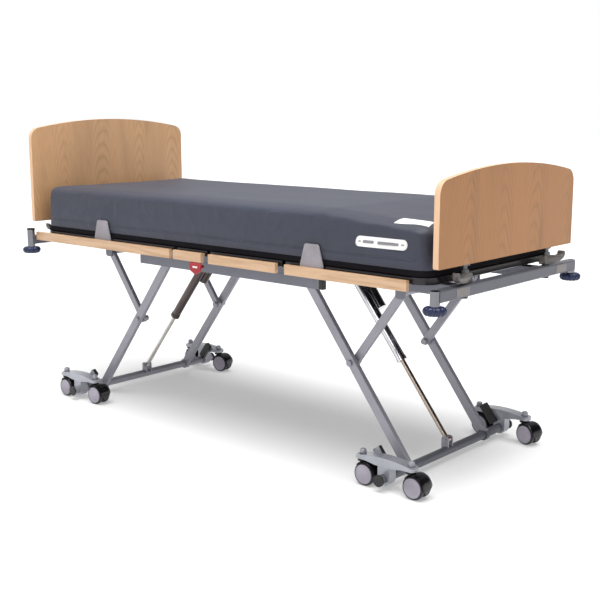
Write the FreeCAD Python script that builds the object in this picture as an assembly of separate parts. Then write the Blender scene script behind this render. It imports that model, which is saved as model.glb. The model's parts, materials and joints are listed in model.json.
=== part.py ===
import FreeCAD, Part
import math
import os

# Adjustable hospital bed: two lift frames, a four-section lying surface and lift-off end panels.
# Millimetres. X runs from the head end (-) to the foot end (+), Y across the bed, Z up.
# The origin is on the floor under the middle of the bed, which is at its highest setting and lies flat.

V = FreeCAD.Vector
AXIS_X, AXIS_Y, AXIS_Z = V(1, 0, 0), V(0, 1, 0), V(0, 0, 1)
ORIGIN = V(0, 0, 0)

# ---- driving dimensions ----
WALL = 2.5                      # wall of the welded rectangular tube
RUN_FIT = 0.05                  # radial clearance of pins and shafts in their bores
GAP = 0.4                       # clearance between moving faces that are not a fit

FRAME_BOTTOM, FRAME_TOP = 650, 690          # longitudinal tubes of the main frame
FRAME_IN_Y, FRAME_OUT_Y = 234, 274
CROSS_X, CROSS_HALF = 345, 20               # cross members that carry the lift actuators

BEAM_X, BEAM_SIZE = 1038, 36                # end beams, square tube
BEAM_BOTTOM, BEAM_TOP = 661, 697
POST_Y, POST_R, POST_BORE_R = 435, 16, 10   # corner posts; a pole in one clears the end panel
POST_BOTTOM = 650
FOOT_POST_TOP, HEAD_POST_TOP = 697, 722
COLLAR_HEIGHT, COLLAR_R = 6, 17
ROLLER_R, ROLLER_HEIGHT, ROLLER_AXLE_R = 37, 28, 6
ROLLER_NUT_R, ROLLER_RECESS = 11, 7

SOCKET_Y, SOCKET_R, SOCKET_BORE_R = 262, 13, 8.4
SOCKET_BOTTOM, SOCKET_TOP = 656, 742
PANEL_X, PANEL_THICK, PANEL_HALF_WIDTH = 1030, 20, 424
PANEL_BOTTOM = 758
HEADBOARD_SIDE_TOP, HEADBOARD_PEAK = 1146, 1188
FOOTBOARD_SIDE_TOP, FOOTBOARD_PEAK = 1018, 1060
PANEL_CORNER_R = 48
PANEL_POST_R = 8

DECK_BOTTOM, DECK_TOP, SLAT_TOP = 700, 722, 724
DECK_OUT_Y, DECK_TUBE = 400, 22
DECK_END_X = 990
DECK_CORNER_R = 60
HINGE_Z = 711
BACK_HINGE_X, THIGH_HINGE_X, KNEE_HINGE_X = -152, 28, 398
HINGE_PIN_R, HINGE_KNUCKLE_R = 6, 10

TRIM_OUT_Y, TRIM_THICK = 423, 15
TRIM_BOTTOM, TRIM_TOP = 679, 714
TRIM_SPANS = {"back": (-1017, -163), "seat": (-143, 9), "thigh": (47, 377), "leg": (419, 924)}
RETAINER_X = {"back": -581, "leg": 528}
RETAINER_BASE, RETAINER_TIP, RETAINER_TOP = 100, 60, 792

MATTRESS_HALF_LENGTH, MATTRESS_HALF_WIDTH = 985, 398
MATTRESS_TOP, MATTRESS_FOOT_TOP, HEEL_SLOPE_START = 906, 872, 560
MATTRESS_EDGE_R = 18
BACK_LEAN, SEAT_LEAN_HEAD, SEAT_LEAN_FOOT, THIGH_LEAN = 42, 27, 10, 24

RAIL_BOTTOM, RAIL_TOP, RAIL_WEB = 612, 650, 3
RAIL_IN_Y = 252
RAIL_HEAD_X, RAIL_FOOT_X = -510, 444
RAIL_CAP_LENGTH = 21

# lift geometry, given for the foot end and mirrored for the head end
PIVOT_Z = 631                               # slide roller and fixed arm pivot
SLIDE_X, ARM_PIVOT_X = 372, 766
ELBOW_X, ELBOW_Z = 569, 363                 # pin that joins the short arm to the long leg
AXLE_X, AXLE_Z = 820, 41                    # cross tube through the leg feet and caster arms
LEG_Y, LEG_THICK, LEG_WIDTH = 240, 20, 35
ARM_Y, ARM_THICK, ARM_WIDTH = 217, 18, 30
LIFT_PIN_R = 7
SLIDE_ROLLER_R = 15.6
SLIDE_PIN_R = 6
AXLE_R, AXLE_HALF = 16, 408
AXLE_CAP_R = 20
TORQUE_TUBE_R = 12
CYLINDER_PIVOT_X, CYLINDER_PIVOT_Z = 378, 636
ROD_EYE_X, ROD_EYE_Z = 815, 79
CYLINDER_R, CYLINDER_LENGTH = 18, 384
ROD_R, EYE_R, EYE_HALF = 9, 12, 9

CASTER_PITCH, CASTER_Y = 98, 366            # caster stems either side of the cross tube
CASTER_ARM_WIDTH = 44
CASTER_ARM_UNDER, CASTER_ARM_BOSS_TOP, CASTER_ARM_CROWN = 88, 101, 112
STEM_HEAD_R, STEM_SPOT_FACE_R = 9, 12
STOP_FROM, STOP_TO, STOP_HALF_WIDTH = 24, 104, 15   # stop plate on a caster arm, in line with its leg
STOP_IN_Y = 328
WHEEL_R, WHEEL_WIDTH, WHEEL_INNER_Y = 40, 19, 9
TRAIL = 22
HOOD_IN_R, HOOD_OUT_R, HOOD_HALF_WIDTH = 41.5, 44, 29
STEM_R = 6
# heading of each caster at rest, degrees from +X: (inner, outer) for each caster arm
HEADINGS = {
    "head_near": (4, 0),
    "head_far": (10, 6),
    "foot_near": (0, 0),
    "foot_far": (-6, -12),
}

DRIVE_X = (-140, 300)
DRIVE_HALF_WIDTH, DRIVE_BOTTOM, DRIVE_TOP = 90, 622, 690
HANDLE_X, HANDLE_Y, HANDLE_BOTTOM, HANDLE_TOP = -49, 396, 626, 672


# ---- shape helpers ----
def box(x0, x1, y0, y1, z0, z1):
    return Part.makeBox(x1 - x0, y1 - y0, z1 - z0, V(x0, y0, z0))


def cylinder(radius, start, end):
    """Round bar between two points."""
    run = end.sub(start)
    return Part.makeCylinder(radius, run.Length, start, run)


def across(radius, x, z, y0, y1):
    """Round bar along Y."""
    return cylinder(radius, V(x, y0, z), V(x, y1, z))


def upright(radius, x, y, z0, z1):
    """Round bar along Z."""
    return cylinder(radius, V(x, y, z0), V(x, y, z1))


def round_edges(shape, axis, radius):
    """Round the straight edges that run along an axis."""
    edges = [
        e
        for e in shape.Edges
        if isinstance(e.Curve, Part.Line) and abs(e.tangentAt(e.FirstParameter).dot(axis)) > 0.999
    ]
    return shape.makeFillet(radius, edges)


def tube(x0, x1, y0, y1, z0, z1, axis, corner=4):
    """Open-ended rectangular tube with rounded corners along an axis."""
    outer = round_edges(box(x0, x1, y0, y1, z0, z1), axis, corner)
    shrink = V(*[(-1 if axis[i] else WALL) for i in range(3)])
    lo, hi = V(x0, y0, z0).add(shrink), V(x1, y1, z1).sub(shrink)
    inner = box(lo.x, hi.x, lo.y, hi.y, lo.z, hi.z)
    return outer.cut(inner)


def mirror_y(shape):
    return shape.mirror(ORIGIN, AXIS_Y)


def mirror_x(shape):
    return shape.mirror(ORIGIN, AXIS_X)


def both_sides(shapes):
    """The shapes and their mirror images across the bed's centre plane."""
    return list(shapes) + [mirror_y(s) for s in shapes]


def place_end(shape, end):
    """Shapes are drawn at the foot end; the head end is their mirror image."""
    return shape if end > 0 else mirror_x(shape)


def outline_face(points, arcs):
    """Closed face from points in order; arcs maps a start index to the middle point of its arc."""
    edges = []
    for i, a in enumerate(points):
        b = points[(i + 1) % len(points)]
        if i in arcs:
            edges.append(Part.Arc(a, arcs[i], b).toShape())
        else:
            edges.append(Part.LineSegment(a, b).toShape())
    return Part.Face(Part.Wire(edges))


def plate_xz(points, arcs, y0, y1):
    """Plate of an outline drawn in X and Z, between two Y faces."""
    face = outline_face([V(x, y0, z) for x, z in points], {i: V(m[0], y0, m[1]) for i, m in arcs.items()})
    return face.extrude(V(0, y1 - y0, 0))


def save(name, shapes):
    shape = shapes[0] if len(shapes) == 1 else Part.makeCompound(shapes)
    shape.exportStep(os.path.join("parts", name + ".step"))


# ---- main frame ----
def side_tubes():
    """Long tubes, notched at their ends round the sockets of the end panels."""
    end = BEAM_X - BEAM_SIZE / 2
    side = tube(-end, end, -FRAME_OUT_Y, -FRAME_IN_Y, FRAME_BOTTOM, FRAME_TOP, AXIS_X)
    for x in (-PANEL_X, PANEL_X):
        side = side.cut(upright(SOCKET_R + GAP, x, -SOCKET_Y, FRAME_BOTTOM - 1, FRAME_TOP + 1))
    return both_sides([side])


def frame_cross_members():
    shapes = []
    for x in (-CROSS_X, CROSS_X):
        x0, x1 = x - CROSS_HALF, x + CROSS_HALF
        shapes.append(tube(x0, x1, -FRAME_IN_Y, FRAME_IN_Y, FRAME_BOTTOM, FRAME_TOP, AXIS_Y))
    return shapes


def arm_pivot_brackets():
    """Hanging plates with the fixed pins of the short arms."""
    shapes = []
    for s in (-1, 1):
        plate = box(ARM_PIVOT_X - 20, ARM_PIVOT_X + 20, FRAME_IN_Y - 5, FRAME_IN_Y, PIVOT_Z - 20, FRAME_TOP)
        plate = round_edges(plate, AXIS_Y, 12)
        pin = across(LIFT_PIN_R, ARM_PIVOT_X, PIVOT_Z, ARM_Y - ARM_THICK / 2 - 2, FRAME_IN_Y - 5)
        shapes += both_sides([place_end(plate.fuse(pin), s)])
    return shapes


def actuator_brackets():
    """Ears and pin that hold the upper end of each lift actuator."""
    shapes = []
    for s in (-1, 1):
        face = CROSS_X + CROSS_HALF
        low = CYLINDER_PIVOT_Z - 14
        ear = box(face, face + 28, EYE_HALF + 1, EYE_HALF + 6, low, FRAME_TOP - 10)
        ear = round_edges(ear, AXIS_Y, 8)
        pin = across(EYE_R / 2, CYLINDER_PIVOT_X, CYLINDER_PIVOT_Z, -EYE_HALF - 1, EYE_HALF + 1)
        shapes.append(place_end(ear.fuse(pin).fuse(mirror_y(ear)), s))
    return shapes


def hinge_lug(x, side, sign):
    """Flat lug with a hinge pin; sign is the direction of the section that turns on it."""
    root = x - sign * 18
    lug = box(min(root, x), max(root, x), 340, 346, HINGE_Z - 8, HINGE_Z + 8)
    lug = lug.fuse(across(HINGE_KNUCKLE_R, x, HINGE_Z, 340, 346))
    lug = lug.fuse(across(HINGE_PIN_R, x, HINGE_Z, 346, 372))
    return lug if side > 0 else mirror_y(lug)


def hinge_knuckle(x, side, sign):
    """Round knuckle of a turning section, with the bore that runs on the hinge pin."""
    root = x + sign * 18
    knuckle = box(min(root, x), max(root, x), 347, 370, HINGE_Z - 6, HINGE_Z + 6)
    knuckle = knuckle.fuse(across(HINGE_KNUCKLE_R, x, HINGE_Z, 347, 370))
    knuckle = knuckle.cut(across(HINGE_PIN_R + RUN_FIT, x, HINGE_Z, 346, 373))
    return knuckle if side > 0 else mirror_y(knuckle)


def seat_deck():
    """Fixed seat section of the lying surface, on pads above the frame tubes."""
    x0, x1 = BACK_HINGE_X + 8, THIGH_HINGE_X - 8
    rims = both_sides([tube(x0, x1, -DECK_OUT_Y, -DECK_OUT_Y + DECK_TUBE, DECK_BOTTOM, DECK_TOP, AXIS_X)])
    inner = DECK_OUT_Y - DECK_TUBE
    cross = [
        tube(x, x + 20, -inner, inner, DECK_BOTTOM, DECK_TOP - 2, AXIS_Y)
        for x in (BACK_HINGE_X + 18, THIGH_HINGE_X - 38)
    ]
    pads = both_sides([
        box(x, x + 20, -FRAME_OUT_Y + 5, -FRAME_IN_Y - 5, FRAME_TOP, DECK_BOTTOM)
        for x in (BACK_HINGE_X + 18, THIGH_HINGE_X - 38)
    ])
    lugs = [hinge_lug(BACK_HINGE_X, side, -1) for side in (-1, 1)]
    lugs += [hinge_lug(THIGH_HINGE_X, side, 1) for side in (-1, 1)]
    slat = box(-70, -50, -inner, inner, DECK_TOP - 14, SLAT_TOP)
    return rims + cross + pads + lugs + [slat]


def handle_bracket():
    """Plate under the seat rim that guides the stem of the release handle."""
    plate = box(HANDLE_X - 14, HANDLE_X + 14, -386, -380, 638, DECK_BOTTOM)
    return [plate.cut(across(3 + GAP, HANDLE_X, 652, -390, -376))]


def main_frame():
    return (
        side_tubes()
        + frame_cross_members()
        + arm_pivot_brackets()
        + actuator_brackets()
        + seat_deck()
        + handle_bracket()
    )


def slide_rails():
    """C-section rails under the frame tubes, open towards the middle, in which the leg rollers run."""
    rail = box(RAIL_HEAD_X, RAIL_FOOT_X, -FRAME_OUT_Y, -RAIL_IN_Y, RAIL_BOTTOM, RAIL_TOP)
    z0, z1 = RAIL_BOTTOM + RAIL_WEB, RAIL_TOP - RAIL_WEB
    channel = box(RAIL_HEAD_X - 1, RAIL_FOOT_X + 1, -FRAME_OUT_Y + RAIL_WEB, 0, z0, z1)
    return both_sides([rail.cut(channel)])


# ---- end beams ----
def end_beam(end):
    """Square beam with a round post at each corner and two sockets for the end panel."""
    half = BEAM_SIZE / 2
    top = FOOT_POST_TOP if end > 0 else HEAD_POST_TOP
    beam = tube(BEAM_X - half, BEAM_X + half, -POST_Y, POST_Y, BEAM_BOTTOM, BEAM_TOP, AXIS_Y)
    posts, sockets = [], []
    for side in (-1, 1):
        y = side * POST_Y
        beam = beam.cut(upright(POST_R, BEAM_X, y, 600, 760))
        post = upright(POST_R, BEAM_X, y, POST_BOTTOM, top)
        post = post.cut(upright(POST_BORE_R, BEAM_X, y, POST_BOTTOM + 8, top + 1))
        axle_end = POST_BOTTOM - ROLLER_HEIGHT + 1
        post = post.fuse(upright(ROLLER_AXLE_R, BEAM_X, y, axle_end, POST_BOTTOM))
        nut = upright(ROLLER_NUT_R, BEAM_X, y, axle_end, POST_BOTTOM - ROLLER_HEIGHT + ROLLER_RECESS - GAP)
        posts.append(post.fuse(nut))
        y = side * SOCKET_Y
        beam = beam.cut(upright(SOCKET_R, PANEL_X, y, 600, 760))
        socket = upright(SOCKET_R, PANEL_X, y, SOCKET_BOTTOM, SOCKET_TOP)
        sockets.append(socket.cut(upright(SOCKET_BORE_R, PANEL_X, y, SOCKET_BOTTOM - 1, SOCKET_TOP + 1)))
    return [place_end(s, end) for s in [beam] + posts + sockets]


def frame_end_caps():
    """Plastic plugs: socket bottoms, rail ends and the collars on the head end's corner posts."""
    caps = []
    for end, top in ((1, FOOT_POST_TOP), (-1, HEAD_POST_TOP)):
        plug = upright(SOCKET_R - 1, PANEL_X, SOCKET_Y, SOCKET_BOTTOM - 5, SOCKET_BOTTOM)
        collar = upright(COLLAR_R, BEAM_X, POST_Y, top, top + COLLAR_HEIGHT)
        collar = collar.cut(upright(POST_BORE_R, BEAM_X, POST_Y, top - 1, top + COLLAR_HEIGHT + 1))
        shapes = [plug] if end > 0 else [plug, collar]
        caps += both_sides([place_end(shape, end) for shape in shapes])
    x1 = RAIL_FOOT_X + RAIL_CAP_LENGTH
    rail_cap = box(RAIL_FOOT_X, x1, -FRAME_OUT_Y, -RAIL_IN_Y, RAIL_BOTTOM, RAIL_TOP)
    return caps + both_sides([round_edges(rail_cap, AXIS_Z, 5)])


def bumper_roller(end, side):
    """Soft roller under a corner post: rounded rim, bore on the post's axle and a recess for its nut."""
    z1 = POST_BOTTOM - GAP
    z0 = z1 - ROLLER_HEIGHT + 2 * GAP
    roller = upright(ROLLER_R, BEAM_X, POST_Y, z0, z1)
    rims = [e for e in roller.Edges if isinstance(e.Curve, Part.Circle)]
    roller = roller.makeFillet(9, rims)
    roller = roller.cut(upright(ROLLER_AXLE_R + RUN_FIT, BEAM_X, POST_Y, z0 - 1, z1 + 1))
    recess_top = POST_BOTTOM - ROLLER_HEIGHT + ROLLER_RECESS
    roller = roller.cut(upright(ROLLER_NUT_R + GAP, BEAM_X, POST_Y, z0 - 1, recess_top))
    roller = roller if side > 0 else mirror_y(roller)
    return [place_end(roller, end)]


# ---- end panels ----
def end_panel(end):
    """Board with an arched top and rounded upper corners."""
    side_top, peak = (FOOTBOARD_SIDE_TOP, FOOTBOARD_PEAK) if end > 0 else (HEADBOARD_SIDE_TOP, HEADBOARD_PEAK)
    x, w = PANEL_X - PANEL_THICK / 2, PANEL_HALF_WIDTH
    points = [V(x, -w, PANEL_BOTTOM), V(x, w, PANEL_BOTTOM), V(x, w, side_top), V(x, -w, side_top)]
    board = outline_face(points, {2: V(x, 0, peak)}).extrude(V(PANEL_THICK, 0, 0))
    for radius, low, high in ((PANEL_CORNER_R, side_top - 1, peak), (6, PANEL_BOTTOM - 1, PANEL_BOTTOM + 1)):
        edges = [e for e in board.Edges if isinstance(e.Curve, Part.Line) and abs(e.tangentAt(0).x) > 0.999]
        board = board.makeFillet(radius, [e for e in edges if low < e.CenterOfMass.z < high])
    return [place_end(board, end)]


def panel_posts(end):
    """Angle brackets on the inner face of a board, each with a post that drops into a beam socket."""
    inner = PANEL_X - PANEL_THICK / 2
    plate = box(inner - 4, inner, SOCKET_Y - 25, SOCKET_Y + 25, PANEL_BOTTOM - 5, PANEL_BOTTOM + 85)
    plate = round_edges(plate, AXIS_X, 5)
    foot = box(inner, inner + PANEL_THICK - 2, SOCKET_Y - 18, SOCKET_Y + 18, PANEL_BOTTOM - 5, PANEL_BOTTOM)
    post = upright(PANEL_POST_R, PANEL_X, SOCKET_Y, SOCKET_BOTTOM + 8, PANEL_BOTTOM - 5)
    return both_sides([place_end(plate.fuse(foot).fuse(post), end)])


def clamp_lever(end, side):
    """Cam lever that turns on the outside of a beam socket: ring, flat arm and upturned tip."""
    z0, z1 = BEAM_TOP + GAP, 722
    ring = upright(20, PANEL_X, SOCKET_Y, z0, z1)
    arm = box(PANEL_X - 9, PANEL_X + 9, SOCKET_Y, SOCKET_Y + 84, z0 + 8, z1)
    tip = box(PANEL_X - 9, PANEL_X + 9, SOCKET_Y + 70, SOCKET_Y + 84, z0 + 8, z1 + 14)
    lever = round_edges(ring.fuse(arm).fuse(tip).removeSplitter(), AXIS_X, 3)
    lever = lever.cut(upright(SOCKET_R + RUN_FIT, PANEL_X, SOCKET_Y, z0 - 1, z1 + 1))
    lever = lever if side > 0 else mirror_y(lever)
    return [place_end(lever, end)]


# ---- lying surface ----
def corner_bend(x_end, sign):
    """Bent corner of a section's rim, drawn at +Y."""
    r1, r0 = DECK_CORNER_R, DECK_CORNER_R - DECK_TUBE
    cx, cy = x_end - sign * r1, DECK_OUT_Y - r1
    ring = upright(r1, cx, cy, DECK_BOTTOM, DECK_TOP).cut(upright(r0, cx, cy, DECK_BOTTOM - 1, DECK_TOP + 1))
    quarter = box(min(cx, x_end), max(cx, x_end), cy, DECK_OUT_Y, DECK_BOTTOM, DECK_TOP)
    return ring.common(quarter)


def section_frame(hinge_x, end_x, hinge_at_end=None):
    """Rim, cross tubes, slats and knuckles of a turning section."""
    sign = 1 if end_x > hinge_x else -1
    start = hinge_x + sign * 8
    inner = DECK_OUT_Y - DECK_TUBE
    outer_end = hinge_at_end is None
    stop = end_x - sign * (DECK_CORNER_R if outer_end else 8)
    x0, x1 = min(start, stop), max(start, stop)
    shapes = both_sides([tube(x0, x1, -DECK_OUT_Y, -inner, DECK_BOTTOM, DECK_TOP, AXIS_X)])
    if outer_end:
        reach = DECK_OUT_Y - DECK_CORNER_R
        ends = sorted((end_x, end_x - sign * DECK_TUBE))
        shapes.append(tube(ends[0], ends[1], -reach, reach, DECK_BOTTOM, DECK_TOP, AXIS_Y))
        shapes += both_sides([corner_bend(end_x, sign)])
    cross_at = [hinge_x + sign * 28]
    if not outer_end:
        cross_at.append(end_x - sign * 28)
        shapes += [hinge_lug(end_x, side, sign) for side in (-1, 1)]
    shapes += [tube(x - 10, x + 10, -inner, inner, DECK_BOTTOM, DECK_TOP - 2, AXIS_Y) for x in cross_at]
    span = abs(end_x - hinge_x) - 100
    count = max(2, round(span / 130))
    for i in range(count):
        x = hinge_x + sign * (75 + span * (i + 0.5) / count)
        shapes.append(box(x - 10, x + 10, -inner, inner, DECK_TOP - 14, SLAT_TOP))
    shapes += [hinge_knuckle(hinge_x, side, sign) for side in (-1, 1)]
    return shapes


def crank(x, y0, y1):
    """Lever under a section that the drive pushes."""
    return box(x - 6, x + 6, y0, y1, DECK_BOTTOM - 52, DECK_BOTTOM)


def back_deck():
    shapes = section_frame(BACK_HINGE_X, -DECK_END_X)
    bar = box(BACK_HINGE_X - 38, BACK_HINGE_X - 6, -12, 12, DECK_BOTTOM - 6, DECK_BOTTOM)
    return shapes + [crank(BACK_HINGE_X, -12, 12), bar]


def thigh_deck():
    shapes = section_frame(THIGH_HINGE_X, KNEE_HINGE_X, KNEE_HINGE_X)
    reach = DRIVE_HALF_WIDTH + 10
    bars = [box(THIGH_HINGE_X + 6, THIGH_HINGE_X + 38, -reach - 8, -reach, DECK_BOTTOM - 6, DECK_BOTTOM)]
    return shapes + both_sides([crank(THIGH_HINGE_X, -reach - 8, -reach)] + bars)


def leg_deck():
    return section_frame(KNEE_HINGE_X, DECK_END_X)


def side_trims(section):
    """Wooden strips along both edges of a section, on spacers from the rim."""
    x0, x1 = TRIM_SPANS[section]
    inner = TRIM_OUT_Y - TRIM_THICK
    trim = box(x0, x1, -TRIM_OUT_Y, -inner, TRIM_BOTTOM, TRIM_TOP)
    trim = round_edges(trim, AXIS_X, 2)
    shapes = [trim]
    for f in (0.08, 0.92):
        x = x0 + 40 + (x1 - x0 - 80) * f if section == "back" else x0 + (x1 - x0) * f
        shapes.append(box(x - 10, x + 10, -inner, -DECK_OUT_Y, DECK_BOTTOM, TRIM_TOP - 2))
    return both_sides(shapes)


def retainers(section):
    """Tapered upright tabs that keep the mattress from sliding sideways."""
    x = RETAINER_X[section]
    y0 = -(TRIM_OUT_Y - TRIM_THICK)
    z0 = DECK_BOTTOM
    points = [
        (x - RETAINER_BASE / 2, z0),
        (x + RETAINER_BASE / 2, z0),
        (x + RETAINER_BASE / 2, TRIM_TOP + 8),
        (x + RETAINER_TIP / 2, RETAINER_TOP),
        (x - RETAINER_TIP / 2, RETAINER_TOP),
        (x - RETAINER_BASE / 2, TRIM_TOP + 8),
    ]
    tab = plate_xz(points, {}, y0, y0 + 4)
    tops = [e for e in tab.Edges if abs(e.tangentAt(0).y) > 0.999 and e.CenterOfMass.z > RETAINER_TOP - 1]
    tab = tab.makeFillet(10, tops)
    return both_sides([tab, box(x - 30, x + 30, y0 + 4, -DECK_OUT_Y, DECK_BOTTOM + 2, TRIM_TOP - 4)])


def mattress(section):
    """Plain block of the mattress over one section. Faces at a hinge that closes lean away from it."""
    z0, z1 = SLAT_TOP, MATTRESS_TOP
    rise = z1 - z0

    def lean(x, degrees):
        return [(x, z0), (x + rise * math.tan(math.radians(degrees)), z1)]

    if section == "back":
        head = [(-MATTRESS_HALF_LENGTH, z1), (-MATTRESS_HALF_LENGTH, z0)]
        points = lean(BACK_HINGE_X - 12, -BACK_LEAN) + head
    elif section == "seat":
        right = lean(THIGH_HINGE_X - 12, -SEAT_LEAN_FOOT)
        left = lean(BACK_HINGE_X + 12, SEAT_LEAN_HEAD)
        points = right + left[::-1]
    elif section == "thigh":
        right = lean(KNEE_HINGE_X - 2, 0)
        left = lean(THIGH_HINGE_X + 12, THIGH_LEAN)
        points = right + left[::-1]
    else:
        points = [
            (MATTRESS_HALF_LENGTH, z0),
            (MATTRESS_HALF_LENGTH, MATTRESS_FOOT_TOP),
            (HEEL_SLOPE_START, z1),
            (KNEE_HINGE_X + 2, z1),
            (KNEE_HINGE_X + 2, z0),
        ]
    block = plate_xz(points, {}, -MATTRESS_HALF_WIDTH, MATTRESS_HALF_WIDTH)
    corners = [
        e
        for e in block.Edges
        if abs(e.tangentAt(0).z) > 0.999 and abs(abs(e.CenterOfMass.x) - MATTRESS_HALF_LENGTH) < 1
    ]
    if corners:
        block = block.makeFillet(30, corners)
    tops = [
        e
        for e in block.Edges
        if abs(e.tangentAt(e.FirstParameter).x) > 0.9
        and e.CenterOfMass.z > MATTRESS_FOOT_TOP - 1
        and abs(abs(e.CenterOfMass.y) - MATTRESS_HALF_WIDTH) < 1
    ]
    return [block.makeFillet(MATTRESS_EDGE_R, tops)]


# ---- lifts (drawn at the foot end) ----
def link(x0, z0, x1, z1, width, y_mid, thick, end_radii, holes):
    """Rectangular tube between two pivots with a round lug at each end, and bushes at further holes."""
    length = math.hypot(x1 - x0, z1 - z0)
    y0, y1 = y_mid - thick / 2, y_mid + thick / 2
    bar = tube(0, length, y0, y1, -width / 2, width / 2, AXIS_X, 3)
    bar.rotate(ORIGIN, AXIS_Y, -math.degrees(math.atan2(z1 - z0, x1 - x0)))
    bar.translate(V(x0, 0, z0))
    shapes = []
    for x, z, radius, bore in [(x0, z0) + end_radii[0], (x1, z1) + end_radii[1]] + holes:
        lug = across(radius, x, z, y0, y1)
        bar = bar.cut(across(radius, x, z, y0 - 1, y1 + 1))
        shapes.append(lug.cut(across(bore, x, z, y0 - 1, y1 + 1)) if bore else lug)
    solids = sorted(bar.Solids, key=lambda s: -s.Volume)
    return [s for s in solids if s.Volume > 500] + shapes


def lift_legs(end):
    """Pair of long legs, welded on the cross tube at the floor, with a roller pin at the top."""
    leg = link(
        SLIDE_X, PIVOT_Z, AXLE_X, AXLE_Z, LEG_WIDTH, LEG_Y, LEG_THICK,
        [(LEG_WIDTH / 2, 0), (22, AXLE_R)],
        [(ELBOW_X, ELBOW_Z, 12, LIFT_PIN_R + RUN_FIT)],
    )
    pin = across(SLIDE_PIN_R, SLIDE_X, PIVOT_Z, LEG_Y + LEG_THICK / 2, 270)
    roller = across(SLIDE_ROLLER_R, SLIDE_X, PIVOT_Z, 254, 270)
    roller = roller.cut(across(SLIDE_PIN_R, SLIDE_X, PIVOT_Z, 253, 271))
    axle = across(AXLE_R, AXLE_X, AXLE_Z, -AXLE_HALF, AXLE_HALF)
    axle = axle.cut(across(AXLE_R - WALL, AXLE_X, AXLE_Z, -AXLE_HALF - 1, AXLE_HALF + 1))
    cap = across(AXLE_CAP_R, AXLE_X, AXLE_Z, AXLE_HALF, AXLE_HALF + 6)
    ear = box(ROD_EYE_X - 14, ROD_EYE_X + 14, EYE_HALF + 1, EYE_HALF + 7, AXLE_Z, ROD_EYE_Z + 13)
    ear = round_edges(ear, AXIS_Y, 9).cut(across(AXLE_R, AXLE_X, AXLE_Z, 0, 30))
    bolt = across(8, ROD_EYE_X, ROD_EYE_Z, EYE_HALF + 7, EYE_HALF + 12)
    shapes = both_sides(leg + [pin, roller, cap, ear.fuse(bolt)]) + [axle]
    return [place_end(s, end) for s in shapes]


def lift_arms(end):
    """Pair of short arms joined by a torque tube on their fixed pivot, with the elbow pins."""
    arm = link(
        ARM_PIVOT_X, PIVOT_Z, ELBOW_X, ELBOW_Z, ARM_WIDTH, ARM_Y, ARM_THICK,
        [(ARM_WIDTH / 2, LIFT_PIN_R + RUN_FIT), (ARM_WIDTH / 2, LIFT_PIN_R)],
        [],
    )
    out = LEG_Y + LEG_THICK / 2
    elbow = across(LIFT_PIN_R, ELBOW_X, ELBOW_Z, ARM_Y - ARM_THICK / 2 - 12, out + 1)
    elbow = elbow.fuse(across(11, ELBOW_X, ELBOW_Z, out + 1, out + 7))
    elbow = elbow.fuse(across(11, ELBOW_X, ELBOW_Z, ARM_Y - ARM_THICK / 2 - 12, ARM_Y - ARM_THICK / 2))
    reach = ARM_Y - ARM_THICK / 2
    torque = across(TORQUE_TUBE_R, ARM_PIVOT_X, PIVOT_Z, -reach, reach)
    torque = torque.cut(across(TORQUE_TUBE_R - 3, ARM_PIVOT_X, PIVOT_Z, -reach - 1, reach + 1))
    return [place_end(s, end) for s in both_sides(arm + [elbow]) + [torque]]


def actuator_direction():
    run = V(ROD_EYE_X - CYLINDER_PIVOT_X, 0, ROD_EYE_Z - CYLINDER_PIVOT_Z)
    return run.multiply(1 / run.Length)


def lift_cylinder(end):
    """Outer tube of a lift actuator with its eye, motor housing and end collar."""
    top = V(CYLINDER_PIVOT_X, 0, CYLINDER_PIVOT_Z)
    d = actuator_direction()

    def at(distance, y=0):
        return top.add(V(d).multiply(distance)).add(V(0, y, 0))

    bore_r = EYE_R / 2 + RUN_FIT
    eye = across(EYE_R, top.x, top.z, -EYE_HALF, EYE_HALF).fuse(cylinder(EYE_HALF, top, at(36)))
    eye = eye.cut(across(bore_r, top.x, top.z, -EYE_HALF - 1, EYE_HALF + 1))
    body = cylinder(CYLINDER_R, at(34), at(CYLINDER_LENGTH - 14))
    collar = cylinder(CYLINDER_R + 2, at(CYLINDER_LENGTH - 14), at(CYLINDER_LENGTH))
    housing = eye.fuse(body).fuse(collar).cut(cylinder(ROD_R + GAP, at(50), at(CYLINDER_LENGTH + 1)))
    motor = cylinder(22, at(44, 46), at(168, 46))
    gearbox = cylinder(25, at(36, 46), at(44, 46)).fuse(cylinder(25, at(36, 8), at(44, 8)))
    gearbox = gearbox.cut(cylinder(CYLINDER_R, at(30), at(60)))
    return [place_end(s, end) for s in (housing, motor, gearbox)]


def lift_rod(end):
    """Sliding rod of a lift actuator with its lower eye and the pin that it carries."""
    bottom = V(ROD_EYE_X, 0, ROD_EYE_Z)
    d = actuator_direction()
    total = math.hypot(ROD_EYE_X - CYLINDER_PIVOT_X, ROD_EYE_Z - CYLINDER_PIVOT_Z)
    start = bottom.sub(V(d).multiply(total - CYLINDER_LENGTH + 52))
    rod = cylinder(ROD_R, start, bottom)
    return [place_end(rod.fuse(across(EYE_R, bottom.x, bottom.z, -EYE_HALF, EYE_HALF)), end)]


# ---- casters ----
def stop_plate():
    """Plate beside a caster arm, in line with the leg at its highest, drawn about the cross tube."""
    length = math.hypot(ELBOW_X - AXLE_X, ELBOW_Z - AXLE_Z)
    along_x, along_z = (ELBOW_X - AXLE_X) / length, (ELBOW_Z - AXLE_Z) / length
    points = []
    for distance, offset in ((STOP_FROM, -1), (STOP_FROM, 1), (STOP_TO, 1), (STOP_TO, -1)):
        x = along_x * distance + along_z * offset * STOP_HALF_WIDTH
        z = along_z * distance - along_x * offset * STOP_HALF_WIDTH
        points.append((x, AXLE_Z + z))
    return round_edges(plate_xz(points, {}, STOP_IN_Y, CASTER_Y - CASTER_ARM_WIDTH / 2), AXIS_Y, 4)


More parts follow.
